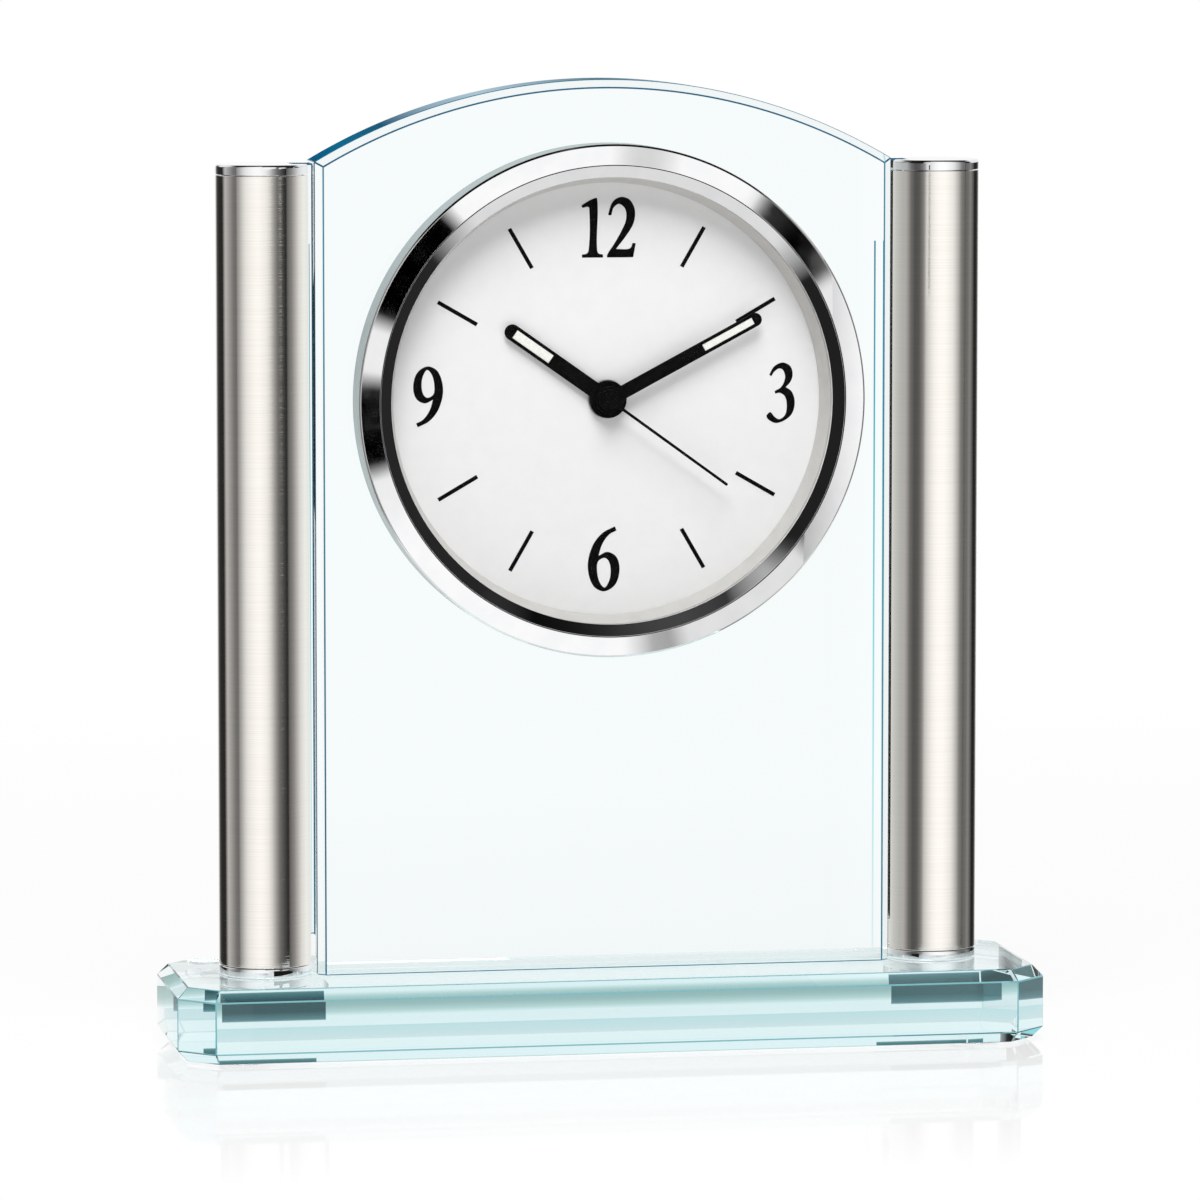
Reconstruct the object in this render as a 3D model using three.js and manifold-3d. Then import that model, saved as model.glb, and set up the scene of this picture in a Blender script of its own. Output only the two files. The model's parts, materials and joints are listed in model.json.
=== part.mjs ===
// Crystal desk clock. An arched glass slab stands between two slotted metal pillars on a bevelled glass base,
// and a round quartz insert sits in a bore through the slab.
// Millimetres, +Z up, the dial faces -Y, the origin is on the table under the middle of the base.
import * as THREE from 'three';
import { mergeVertices } from 'three/addons/utils/BufferGeometryUtils.js';
import Module from 'manifold-3d';

const wasm = await Module();
wasm.setup();

// Clearances
const seat = 0.1;
const gap = 0.3;
const running = 0.15;
const backlash = 0.06;
const pressFit = 0.05;

// Base and its pads
const baseWidth = 155;
const baseDepth = 42;
const baseThickness = 13.1;
const baseBevelWidth = 1.9;
const baseBevelHeight = 2;
const baseCornerCut = 6;
const padRadius = 4.5;
const padThickness = 0.5;
const padMarginX = 12;
const padMarginY = 8.5;

// Pillars
const pillarSpacing = 120;
const tubeRadius = 8.25;
const tubeWall = 1.2;
const tubeLength = 139.2;
const collarHeight = 1.8;
const capHeight = 1.8;
const capEdge = 0.6;
const plugLength = 5;
const rodRadius = 1.9;
const rodHeadRadius = 3.6;
const rodHeadHeight = 2.4;
const rodSocketRadius = 1.6;
const rodSocketDepth = 1.4;
const washerThickness = 0.8;

// Upright slab
const slabThickness = 12;
const slabBevel = 1.4;
const archRise = 14.1;
const shoulderStep = 0.4;
const tongueThickness = 5;
const tongueDepth = 3.5;
const insertBelowApex = 56;

// Insert: bezel, lens, reflector ring, dial and case
const bezelRadius = 45;
const bezelProud = 8.4;
const bezelSkirt = 1.2;
const bezelShoulder = 0.35;
const bezelRingDrop = 0.75;
const bezelGrooveWidth = 0.15;
const bezelGrooveDepth = 0.5;
const bezelStepWidth = 2.05;
const bezelStepDrop = 1.25;
const bezelLip = 1.7;
const flangeOverlap = 0.9;
const flangeThickness = 1.4;
const gasketThickness = 0.8;
const gasketWidth = 9;
const casePocketWall = 0.8;
const caseWall = 1.6;
const caseBack = 1.2;
const lipOverlap = 1.2;
const lensThickness = 1.2;
const dialRecess = 7.4;
const dialThickness = 0.6;
const reflectorFoot = 2.4;
const coverWidth = 47;
const coverHeight = 12.6;
const coverRibHeight = 0.8;
const coverRibPitch = 1.8;
const coverRibLength = 9;
const coverRibs = 3;

// Hands
const hours = 10;
const minutes = 10;
const seconds = 21;
const hourHandLength = 22.2;
const hourHandWidth = 2.8;
const minuteHandLength = 30.7;
const minuteHandWidth = 2.4;
const secondHandLength = 25.9;
const secondHandWidth = 0.5;
const handThickness = 0.4;
const hourBossRadius = 3.3;
const minuteBossRadius = 2.4;
const secondBossRadius = 1.9;
const bossHeight = 0.9;
const hourLumeStart = 12.4;
const hourLumeEnd = 20.3;
const hourLumeWidth = 1.65;
const minuteLumeStart = 19.1;
const minuteLumeEnd = 29.1;
const minuteLumeWidth = 1.25;
const handOffset = 0.2;

// Movement shells, battery and electrics
const movementWidth = 54;
const movementTop = 25;
const movementBottom = 26;
const movementWall = 1.2;
const movementCorner = 2;
const frontShellDepth = 7.7;
const movementDepth = 15.2;
const batteryRadius = 5.25;
const batteryLength = 44.5;
const batteryTipRadius = 1.9;
const batteryTipLength = 0.8;
const batteryDrop = 18.5;
const batteryEndRoom = 1;
const contactThickness = 0.4;
const contactWidth = 6;
const boardThickness = 0.8;
const boardLeft = -24;
const boardRight = -4.5;
const boardBottom = 14;
const boardTop = 23;
const canRadius = 1;
const canLength = 6;
const coilLeft = 3.6;
const coilRight = 17;
const coilRise = 19.2;
const coilRadius = 2.6;
const coilCheek = 0.8;
const coreWidth = 3;
const statorThickness = 0.8;
const statorMargin = 1.6;
const legWidth = 4;
const caseScrewX = 22.6;
const caseScrewDrop = 7.5;
const caseScrewRadius = 0.9;
const caseScrewHeadRadius = 2;
const caseScrewHeadHeight = 1;
const caseScrewSlot = 0.5;
const caseScrewGrip = 3;

// Wheels: teeth, spacings and layers
const rotorTeeth = 6;
const intermediateTeeth = 36;
const intermediatePinionTeeth = 6;
const secondTeeth = 30;
const secondPinionTeeth = 6;
const thirdTeeth = 45;
const thirdPinionTeeth = 6;
const centreTeeth = 48;
const cannonTeeth = 8;
const minuteTeeth = 24;
const minutePinionTeeth = 8;
const hourTeeth = 32;
const stemTeeth = 8;
const thirdSpacing = 9.25;
const thirdDirection = THREE.MathUtils.degToRad(-30);
const intermediateSpacing = 9.3;
const intermediateDirection = THREE.MathUtils.degToRad(100);
const rotorSpacing = 5.3;
const rotorDirection = THREE.MathUtils.degToRad(20);
const minuteSpacing = 7.3;
const minuteDirection = THREE.MathUtils.degToRad(200);
const stemDirection = THREE.MathUtils.degToRad(170);
const wheelThickness = 0.6;
const layerPitch = 1.1;
const pinionOverlap = 0.1;
const toothRoot = 1.1;
const toothTip = 0.85;
const rootShare = 0.29;
const tipShare = 0.09;
const arborRadius = 0.5;
const secondArborRadius = 0.45;
const cannonBore = 0.7;
const cannonRadius = 1.3;
const hourTubeWall = 0.6;
const bushWall = 0.6;
const magnetRadius = 1.8;
const magnetLength = 1.4;
const stemRadius = 0.9;
const knobRadius = 5.2;
const knobHeight = 3.2;
const knobFlutes = 14;
const knobFluteDepth = 0.4;
const bridgeThickness = 0.8;
const postRadius = 1.2;
const posts = [[-11, 9], [-5, -11], [18.6, -1]];
const bridgeOutline = [
  [-13, 8.4], [-9.6, 11.4], [4.6, 13.4], [7, 11.4], [20.8, 0.4],
  [20.2, -3], [9.5, -8], [-3.8, -13.2], [-7.2, -11.4],
];

// Faces per full turn
const roundBezel = 44;
const roundInsert = 36;
const roundPillar = 26;
const roundSmall = 16;
const roundTiny = 10;

// Levels of the standing parts
const baseTop = padThickness + baseThickness;
const tubeBottom = baseTop + collarHeight;
const tubeTop = tubeBottom + tubeLength;
const capTop = tubeTop + capHeight;
const rodHeadBottom = baseTop + 2 * seat;
const washerBottom = rodHeadBottom + rodHeadHeight + seat;
const washerTop = washerBottom + washerThickness;
const pillarX = pillarSpacing / 2;
const slabHalfWidth = pillarX - tubeRadius - gap;
const shoulderHeight = capTop + shoulderStep;
const apexHeight = shoulderHeight + archRise;
const archRadius = (slabHalfWidth ** 2 + archRise ** 2) / (2 * archRise);
const dialHeight = apexHeight - insertBelowApex;

// Radii of the insert, from the bezel inwards
const flangeRadius = bezelRadius - bezelSkirt - gap;
const boreRadius = flangeRadius - flangeOverlap;
const caseRadius = boreRadius - gap - gasketThickness;
const pocketRadius = caseRadius - casePocketWall;
const dialRadius = pocketRadius - gap;
const lipRadius = dialRadius - lipOverlap;
const caseInnerRadius = caseRadius - caseWall;

// Depths of the insert, from the front of the bezel to the back
const slabFront = -slabThickness / 2;
const bezelFront = slabFront - bezelProud;
const lensFront = bezelFront + bezelLip + seat;
const lensBack = lensFront + lensThickness;
const dialFront = bezelFront + dialRecess;
const dialBack = dialFront + dialThickness;
const flangeFront = slabFront - seat - flangeThickness;
const movementFront = dialBack + seat;
const plateBack = movementFront + movementWall;
const shellJoint = movementFront + frontShellDepth;
const movementBack = movementFront + movementDepth;
const caseBackInner = movementBack + gap;
const caseBackOuter = caseBackInner + caseBack;

// Places of the wheels in the plane of the dial, x to the right and z up from the centre
const centre = new THREE.Vector2(0, 0);
const thirdPlace = polar(centre, thirdSpacing, thirdDirection);
const intermediatePlace = polar(centre, intermediateSpacing, intermediateDirection);
const rotorPlace = polar(intermediatePlace, rotorSpacing, rotorDirection);
const minutePlace = polar(centre, minuteSpacing, minuteDirection);
const stemShare = (minuteTeeth + stemTeeth) / (minuteTeeth + cannonTeeth);
const stemSpacing = (minuteSpacing - backlash) * stemShare + backlash;
const stemPlace = polar(minutePlace, stemSpacing, stemDirection);
const minuteTooth = meshing(minuteDirection, minuteTeeth);

// Modules that fit the teeth to the spacings
const rotorModule = toothModule(rotorSpacing, rotorTeeth, intermediateTeeth);
const intermediateModule = toothModule(intermediateSpacing, intermediatePinionTeeth, secondTeeth);
const secondModule = toothModule(thirdSpacing, secondPinionTeeth, thirdTeeth);
const thirdModule = toothModule(thirdSpacing, thirdPinionTeeth, centreTeeth);
const cannonModule = toothModule(minuteSpacing, cannonTeeth, minuteTeeth);
const hourModule = toothModule(minuteSpacing, minutePinionTeeth, hourTeeth);

// Layers of the wheels from the front plate backwards
const hourLayer = plateBack + gap;
const minuteLayer = hourLayer + layerPitch;
const centreLayer = minuteLayer + layerPitch;
const thirdLayer = centreLayer + layerPitch;
const secondLayer = thirdLayer + layerPitch;
const intermediateLayer = secondLayer + layerPitch;
const magnetLayer = intermediateLayer + layerPitch;
const magnetBack = magnetLayer + magnetLength;
const statorFront = magnetLayer + gap;
const statorBack = statorFront + statorThickness;
const bridgeFront = magnetBack + 2 * gap;
const bridgeBack = bridgeFront + bridgeThickness;
const arborBack = bridgeFront + bridgeThickness / 2;
const arborFront = plateBack - movementWall / 2;
const boardBack = bridgeBack;
const batteryY = movementBack - movementWall - batteryRadius;

// Radii of the nested tubes at the centre
const hourTubeInner = cannonRadius + gap;
const hourTubeOuter = hourTubeInner + hourTubeWall;
const bushInner = hourTubeOuter + gap;
const bushOuter = bushInner + bushWall;

// Stack of the hands in front of the dial
const hourHandBack = dialFront - 2 * gap;
const minuteHandBack = hourHandBack - bossHeight - gap;
const secondHandBack = minuteHandBack - bossHeight - gap;
const turnsPerHour = 1 / 12;
const hourTurn = (hours + minutes / 60 + seconds / 3600) * turnsPerHour;
const minuteTurn = (minutes + seconds / 60) / 60;
const secondTurn = seconds / 60;

const materials = {
  glass: paint(0xcfeaf0, 0.03, 0),
  clearPad: paint(0xe8eef0, 0.4, 0),
  brushedNickel: paint(0xb9b1a6, 0.35, 1),
  chrome: paint(0xe6e8ea, 0.08, 1),
  steel: paint(0x9a9da0, 0.35, 1),
  rubber: paint(0x202224, 0.8, 0),
  lens: paint(0xf4fafc, 0.02, 0),
  cream: paint(0xdcdad3, 0.5, 0),
  dial: paint(0xececec, 0.6, 0),
  hand: paint(0x0b0b0c, 0.35, 0),
  lume: paint(0xf4f4ee, 0.6, 0),
  casePlastic: paint(0x2a2c2e, 0.5, 0),
  shellPlastic: paint(0xd8dadb, 0.5, 0),
  wheelPlastic: paint(0xe9e4d2, 0.45, 0),
  copper: paint(0xb0663a, 0.3, 1),
  board: paint(0x2c6b45, 0.6, 0),
  battery: paint(0x2f5d9c, 0.35, 0),
};

function paint(color, roughness, metalness) {
  return new THREE.MeshStandardMaterial({ color, roughness, metalness });
}

function polar(from, distance, angle) {
  return new THREE.Vector2(from.x + distance * Math.cos(angle), from.y + distance * Math.sin(angle));
}

function toothModule(spacing, teethA, teethB) {
  return 2 * (spacing - backlash) / (teethA + teethB);
}

// Turns a closed geometry into a solid whose faces point out.
function solidOf(geometry) {
  geometry.deleteAttribute('normal');
  geometry.deleteAttribute('uv');
  const merged = mergeVertices(geometry, 1e-5);
  const points = merged.attributes.position.array;
  const corners = merged.index.array;
  const a = new THREE.Vector3();
  const b = new THREE.Vector3();
  const c = new THREE.Vector3();
  const kept = [];
  let volume = 0;
  for (let i = 0; i < corners.length; i += 3) {
    const [p, q, r] = corners.slice(i, i + 3);
    if (p === q || q === r || r === p) continue;
    a.fromArray(points, 3 * p);
    b.fromArray(points, 3 * q);
    c.fromArray(points, 3 * r);
    volume += a.dot(b.cross(c));
    kept.push([p, q, r]);
  }
  const triVerts = new Uint32Array(kept.flatMap(([p, q, r]) => (volume < 0 ? [p, r, q] : [p, q, r])));
  return new wasm.Manifold(new wasm.Mesh({ numProp: 3, vertProperties: new Float32Array(points), triVerts }));
}

function join(solids) {
  return solids.reduce((whole, solid) => whole.add(solid));
}

function cut(solid, tools) {
  return tools.reduce((left, tool) => left.subtract(tool), solid);
}

function geometryOf(solid) {
  const mesh = solid.getMesh();
  const geometry = new THREE.BufferGeometry();
  geometry.setAttribute('position', new THREE.BufferAttribute(new Float32Array(mesh.vertProperties), 3));
  geometry.setIndex(new THREE.BufferAttribute(new Uint32Array(mesh.triVerts), 1));
  geometry.computeVertexNormals();
  return geometry;
}

// An outline seen from the front, x to the right and z up, extruded from y = front to y = back.
function facing(shape, front, back) {
  const geometry = new THREE.ExtrudeGeometry(shape, {
    depth: back - front,
    bevelEnabled: false,
    curveSegments: roundSmall / 4,
  });
  return solidOf(geometry.rotateX(Math.PI / 2).translate(0, back, 0));
}

// A closed profile of [radius, y] corners turned about the axis of the dial, moved to place in its plane.
function turned(profile, segments, place = centre) {
  const corners = [...profile, profile[0]].map(([radius, y]) => new THREE.Vector2(radius, y));
  return solidOf(new THREE.LatheGeometry(corners, segments).translate(place.x, 0, place.y));
}

function disc(radius, front, back, segments, place = centre) {
  return turned([[0, front], [radius, front], [radius, back], [0, back]], segments, place);
}

function ring(inner, outer, front, back, segments, place = centre) {
  return turned([[inner, front], [outer, front], [outer, back], [inner, back]], segments, place);
}

// A closed profile of [radius, z] corners turned about the pillar's axis.
function upright(profile, segments, x = 0, y = 0) {
  const corners = [...profile, profile[0]].map(([radius, z]) => new THREE.Vector2(radius, z));
  return solidOf(new THREE.LatheGeometry(corners, segments).rotateX(Math.PI / 2).translate(x, y, 0));
}

function column(radius, bottom, top, segments, x = 0, y = 0) {
  return upright([[0, bottom], [radius, bottom], [radius, top], [0, top]], segments, x, y);
}

// A box between two x, two y and two z values, given in either order.
function box(x0, x1, y0, y1, z0, z1) {
  const geometry = new THREE.BoxGeometry(Math.abs(x1 - x0), Math.abs(y1 - y0), Math.abs(z1 - z0));
  return solidOf(geometry.translate((x0 + x1) / 2, (y0 + y1) / 2, (z0 + z1) / 2));
}

function polygon(corners) {
  return new THREE.Shape(corners.map(([x, y]) => new THREE.Vector2(x, y)));
}

const clock = new THREE.Group();
const insert = new THREE.Group();
insert.position.set(0, 0, dialHeight);
clock.add(insert);

function piece(group, name, solid, material) {
  const mesh = new THREE.Mesh(geometryOf(solid), material.clone());
  mesh.name = name;
  group.add(mesh);
}

// Glass base: a long block with cut corners, bevelled round its top and its bottom.
function baseBlock() {
  const halfX = baseWidth / 2 - baseBevelWidth;
  const halfY = baseDepth / 2 - baseBevelWidth;
  const side = baseCornerCut - baseBevelWidth * (2 - Math.SQRT2);
  const outline = polygon([
    [-halfX + side, -halfY], [halfX - side, -halfY], [halfX, -halfY + side], [halfX, halfY - side],
    [halfX - side, halfY], [-halfX + side, halfY], [-halfX, halfY - side], [-halfX, -halfY + side],
  ]);
  return solidOf(new THREE.ExtrudeGeometry(outline, {
    depth: baseThickness - 2 * baseBevelHeight,
    bevelThickness: baseBevelHeight,
    bevelSize: baseBevelWidth,
    bevelSegments: 1,
  }).translate(0, 0, padThickness + baseBevelHeight));
}

function basePad(sideX, sideY) {
  const x = sideX * (baseWidth / 2 - padMarginX);
  const y = sideY * (baseDepth / 2 - padMarginY);
  return column(padRadius, 0, padThickness - seat, roundSmall, x, y);
}

// Slotted tube whose slot faces the slab.
function pillarTube(side) {
  const slotHalf = tongueThickness / 2 + gap;
  const innerRadius = tubeRadius - tubeWall;
  const outerAngle = Math.asin(slotHalf / tubeRadius);
  const innerAngle = Math.asin(slotHalf / innerRadius);
  const outline = new THREE.Shape();
  outline.absarc(0, 0, tubeRadius, outerAngle, 2 * Math.PI - outerAngle, false);
  outline.absarc(0, 0, innerRadius, 2 * Math.PI - innerAngle, innerAngle, true);
  outline.closePath();
  const geometry = new THREE.ExtrudeGeometry(outline, {
    depth: tubeLength - 2 * seat,
    bevelEnabled: false,
    curveSegments: roundPillar / 2,
  });
  if (side > 0) geometry.rotateZ(Math.PI);
  return solidOf(geometry.translate(side * pillarX, 0, tubeBottom + seat));
}

// Room for the slab's tongue in a cap.
function tongueNotch(side) {
  const reach = pillarX - slabHalfWidth - tongueDepth - gap;
  const half = tongueThickness / 2 + gap;
  const deep = side * (pillarX - reach);
  const open = side * (pillarX - tubeRadius - gap);
  return box(deep, open, -half, half, tubeTop - plugLength - gap, capTop + gap);
}

function pillarCap(side) {
  const plugRadius = tubeRadius - tubeWall - gap;
  const round = capEdge * (1 - Math.SQRT1_2);
  const cap = upright([
    [0, tubeTop - plugLength], [plugRadius, tubeTop - plugLength], [plugRadius, tubeTop],
    [tubeRadius, tubeTop], [tubeRadius, capTop - capEdge], [tubeRadius - round, capTop - round],
    [tubeRadius - capEdge, capTop], [0, capTop],
  ], roundPillar, side * pillarX);
  const thread = column(rodRadius + running, tubeTop - plugLength - gap, tubeTop, roundSmall, side * pillarX);
  return cut(cap, [thread, tongueNotch(side)]);
}

// Collar bonded to the base, with a counterbore in its foot for the head of the rod.
function pillarCollar(side) {
  const plugRadius = tubeRadius - tubeWall - gap;
  const hole = rodRadius + gap;
  const counterbore = rodHeadRadius + gap;
  return upright([
    [counterbore, baseTop + seat], [tubeRadius, baseTop + seat], [tubeRadius, tubeBottom],
    [plugRadius, tubeBottom], [plugRadius, tubeBottom + plugLength], [hole, tubeBottom + plugLength],
    [hole, washerTop + seat], [counterbore, washerTop + seat],
  ], roundPillar, side * pillarX);
}

// Long rod with a socket head in the collar, up through the pillar into the cap.
function pillarRod(side) {
  return upright([
    [0, rodHeadBottom + rodSocketDepth], [rodSocketRadius, rodHeadBottom + rodSocketDepth],
    [rodSocketRadius, rodHeadBottom], [rodHeadRadius, rodHeadBottom],
    [rodHeadRadius, rodHeadBottom + rodHeadHeight], [rodRadius, rodHeadBottom + rodHeadHeight],
    [rodRadius, tubeTop - gap], [0, tubeTop - gap],
  ], roundSmall, side * pillarX);
}

function rodWasher(side) {
  const hole = rodRadius + running;
  return upright([
    [hole, washerBottom], [rodHeadRadius, washerBottom], [rodHeadRadius, washerTop], [hole, washerTop],
  ], roundSmall, side * pillarX);
}

// Slab outline inside its bevel: straight sides and an arched top, from the table upwards.
function slabOutline() {
  const half = slabHalfWidth - slabBevel;
  const radius = archRadius - slabBevel;
  const middle = apexHeight - archRadius;
  const reach = Math.asin(half / radius);
  const outline = new THREE.Shape();
  outline.moveTo(-half, 0);
  outline.lineTo(half, 0);
  outline.absarc(0, middle, radius, Math.PI / 2 - reach, Math.PI / 2 + reach, false);
  outline.closePath();
  return outline;
}

function uprightSlab() {
  const blank = solidOf(new THREE.ExtrudeGeometry(slabOutline(), {
    depth: slabThickness - 2 * slabBevel,
    bevelThickness: slabBevel,
    bevelSize: slabBevel,
    bevelSegments: 1,
    curveSegments: roundPillar / 2,
  }).rotateX(Math.PI / 2).translate(0, slabThickness / 2 - slabBevel, 0));
  const below = box(-pillarX, pillarX, -slabThickness, slabThickness, -slabThickness,
    baseTop + seat);
  const tongueBottom = tubeBottom + plugLength + gap;
  const half = tongueThickness / 2;
  const outer = slabHalfWidth + tongueDepth;
  const inner = slabHalfWidth - slabBevel;
  const tongues = [-1, 1].map((side) => box(side * inner, side * outer, -half, half, tongueBottom, capTop));
  const place = new THREE.Vector2(0, dialHeight);
  const bore = disc(boreRadius, -slabThickness, slabThickness, roundBezel, place);
  return cut(join([blank, ...tongues]), [below, bore]);
}

// Polished bezel: side wall, shoulder, broad ring that falls outwards, fine groove, step down to the lens,
// and a rebate for the flange.
function bezel() {
  const step = lipRadius + bezelStepWidth;
  const ringInner = step + bezelGrooveWidth;
  const ringEdge = bezelFront + bezelRingDrop;
  const grooveFloor = bezelFront + bezelGrooveDepth;
  const pocket = dialRadius + gap;
  const rebate = flangeRadius + gap;
  return turned([
    [bezelRadius, slabFront - seat], [bezelRadius, ringEdge + bezelShoulder],
    [bezelRadius - bezelShoulder, ringEdge], [ringInner, bezelFront], [ringInner, grooveFloor],
    [step, grooveFloor], [step, bezelFront + seat], [lipRadius, bezelFront + bezelStepDrop],
    [lipRadius, bezelFront + bezelLip], [pocket, bezelFront + bezelLip], [pocket, flangeFront - gap],
    [rebate, flangeFront - gap], [rebate, slabFront - seat],
  ], roundBezel);
}

function reflectorRing() {
  return turned([
    [lipRadius, lensBack + seat], [dialRadius, lensBack + seat], [dialRadius, dialFront - seat],
    [dialRadius - reflectorFoot, dialFront - seat],
  ], roundInsert);
}

function dialPlate() {
  return ring(bushOuter + gap, dialRadius, dialFront, dialBack, roundInsert);
}

// A box over the battery, given by its half width and half height.
function overBattery(halfX, halfZ, front, back) {
  return box(-halfX, halfX, front, back, -batteryDrop - halfZ, -batteryDrop + halfZ);
}

// Insert case: a cup with a flange in front, a pocket for the dial, and a back with a battery hatch.
function insertCase() {
  const cup = turned([
    [0, caseBackInner], [caseInnerRadius, caseBackInner], [caseInnerRadius, dialBack + seat],
    [pocketRadius, dialBack + seat], [pocketRadius, flangeFront], [flangeRadius, flangeFront],
    [flangeRadius, slabFront - seat], [caseRadius, slabFront - seat], [caseRadius, caseBackOuter],
    [0, caseBackOuter],
  ], roundInsert);
  const front = caseBackInner - gap;
  const back = caseBackOuter + gap;
  const hatch = overBattery(coverWidth / 2 + gap, coverHeight / 2 + gap, front, back);
  const stemHole = disc(stemRadius + gap, front, back, roundSmall, stemPlace);
  return cut(cup, [hatch, stemHole, ...caseScrewHoles(front, back)]);
}

function batteryCover() {
  const plate = overBattery(coverWidth / 2, coverHeight / 2, caseBackInner, caseBackOuter);
  const half = coverRibLength / 2;
  const back = caseBackOuter + coverRibHeight;
  const ribs = [];
  for (let row = 0; row < coverRibs; row += 1) {
    const z = -batteryDrop + (row - (coverRibs - 1) / 2) * coverRibPitch;
    ribs.push(box(-half, half, caseBackOuter - seat, back, z - coverRibPitch / 4, z + coverRibPitch / 4));
  }
  return join([plate, ...ribs]);
}

function gripGasket() {
  const inner = caseRadius + seat;
  const outer = caseRadius + gasketThickness;
  const edge = (slabThickness - gasketWidth) / 2;
  const front = slabFront + edge;
  const back = -front;
  return turned([
    [inner, front], [outer - gap, front], [outer, front + edge], [outer, back - edge], [outer - gap, back],
    [inner, back],
  ], roundInsert);
}

function caseScrewPlaces() {
  return [-caseScrewX, caseScrewX].map((x) => new THREE.Vector2(x, -caseScrewDrop));
}

function caseScrewHoles(front, back) {
  return caseScrewPlaces().map((place) => disc(caseScrewRadius + gap, front, back, roundTiny, place));
}

function caseScrew(place) {
  const headFront = caseBackOuter + seat;
  const headBack = headFront + caseScrewHeadHeight;
  const tip = shellJoint - caseScrewGrip;
  const screw = turned([
    [0, tip], [caseScrewRadius, tip], [caseScrewRadius, headFront], [caseScrewHeadRadius, headFront],
    [caseScrewHeadRadius, headBack], [0, headBack],
  ], roundSmall, place);
  const slot = box(place.x - caseScrewHeadRadius, place.x + caseScrewHeadRadius, headBack - caseScrewSlot,
    headBack + gap, place.y - gap, place.y + gap);
  return cut(screw, [slot]);
}

function movementOutline(inset) {
  const x = movementWidth / 2 - inset;
  const top = movementTop - inset;
  const bottom = inset - movementBottom;
  const corner = movementCorner;
  return polygon([
    [-x + corner, bottom], [x - corner, bottom], [x, bottom + corner], [x, top - corner], [x - corner, top],
    [-x + corner, top], [-x, top - corner], [-x, bottom + corner],
  ]);
}

// Front shell of the movement: plate, side walls, centre bush, stud for the minute wheel and posts.
function frontShell() {
  const plate = facing(movementOutline(0), movementFront, plateBack);
  const walls = cut(facing(movementOutline(0), plateBack, shellJoint), [
    facing(movementOutline(movementWall), plateBack - gap, shellJoint + gap),
  ]);
  const bush = ring(bushInner, bushOuter, dialFront - seat, plateBack, roundSmall);
  const stud = disc(arborRadius, plateBack - gap, minuteLayer + wheelThickness, roundTiny, minutePlace);
  const bridgePosts = posts.map(([x, z]) => (
    disc(postRadius, plateBack - gap, bridgeFront - seat, roundTiny, new THREE.Vector2(x, z))
  ));
  const legs = statorLegCentres().map((x) => (
    disc(postRadius, plateBack - gap, statorFront - seat, roundTiny, new THREE.Vector2(x, coilRise))
  ));
  const screwBosses = caseScrewPlaces().map((place) => (
    disc(2 * postRadius, plateBack - gap, shellJoint - seat, roundSmall, place)
  ));
  const hole = disc(bushInner, dialFront - gap, plateBack + gap, roundSmall);
  const bearings = [thirdPlace, intermediatePlace, rotorPlace].map((place) => (
    disc(arborRadius + running, arborFront - seat, plateBack + gap, roundTiny, place)
  ));
  const stemBearing = disc(stemRadius + running, arborFront - seat, plateBack + gap, roundTiny, stemPlace);
  const screwHoles = caseScrewHoles(plateBack + gap, shellJoint + gap);
  return cut(join([plate, walls, bush, stud, ...bridgePosts, ...legs, ...screwBosses]), [
    hole, ...bearings, stemBearing, ...screwHoles,
  ]);
}

// Back shell of the movement: side walls and a back with the battery opening, and bosses for the board.
function backShell() {
  const plateFront = movementBack - movementWall;
  const plate = facing(movementOutline(0), plateFront, movementBack);
  const walls = cut(facing(movementOutline(0), shellJoint + seat, movementBack), [
    facing(movementOutline(movementWall), shellJoint - gap, movementBack + gap),
  ]);
  const opening = overBattery(batteryLength / 2 + batteryEndRoom, batteryRadius + gap, plateFront - gap,
    movementBack + gap);
  const bosses = boardPosts().map((place) => (
    disc(postRadius, boardBack + seat, plateFront + gap, roundTiny, place)
  ));
  const stemHole = disc(stemRadius + running, plateFront - gap, movementBack + gap, roundTiny, stemPlace);
  const screwHoles = caseScrewHoles(plateFront - gap, movementBack + gap);
  return cut(join([plate, walls, ...bosses]), [opening, stemHole, ...screwHoles]);
}

// Bridge that carries the back pivots of the train.
function trainBridge() {
  const pivots = [thirdPlace, intermediatePlace, rotorPlace, centre].map((place) => (
    disc(arborRadius + running, bridgeFront - gap, bridgeBack + gap, roundTiny, place)
  ));
  return cut(facing(polygon(bridgeOutline), bridgeFront, bridgeBack), pivots);
}

function boardPosts() {
  const inset = 2 * postRadius;
  return [
    new THREE.Vector2(boardLeft + inset, boardBottom + inset),
    new THREE.Vector2(boardRight - inset, boardTop - inset),
  ];
}

function circuitBoard() {
  return box(boardLeft, boardRight, boardBack - boardThickness, boardBack, boardBottom, boardTop);
}

function quartzCan() {
  const z = (boardBottom + boardTop) / 2;
  const can = new THREE.CylinderGeometry(canRadius, canRadius, canLength, roundTiny).rotateZ(Math.PI / 2);
  return solidOf(can.translate((boardLeft + boardRight) / 2, boardBack + seat + canRadius, z));
}

function statorLegCentres() {
  return [coilLeft - legWidth / 2, coilRight + legWidth / 2];
}

// U-shaped stator with the rotor's hole in its lower bar.
function stator() {
  const left = coilLeft - legWidth;
  const right = coilRight + legWidth;
  const bottom = rotorPlace.y - magnetRadius - statorMargin;
  const top = coilRise + legWidth / 2;
  const bar = rotorPlace.y + magnetRadius + statorMargin;
  const outline = polygon([
    [left, bottom], [right, bottom], [right, top], [coilRight, top], [coilRight, bar], [coilLeft, bar],
    [coilLeft, top], [left, top],
  ]);
  const hole = disc(magnetRadius + gap, statorFront - gap, statorBack + gap, roundSmall, rotorPlace);
  return cut(facing(outline, statorFront, statorBack), [hole]);
}

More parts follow.
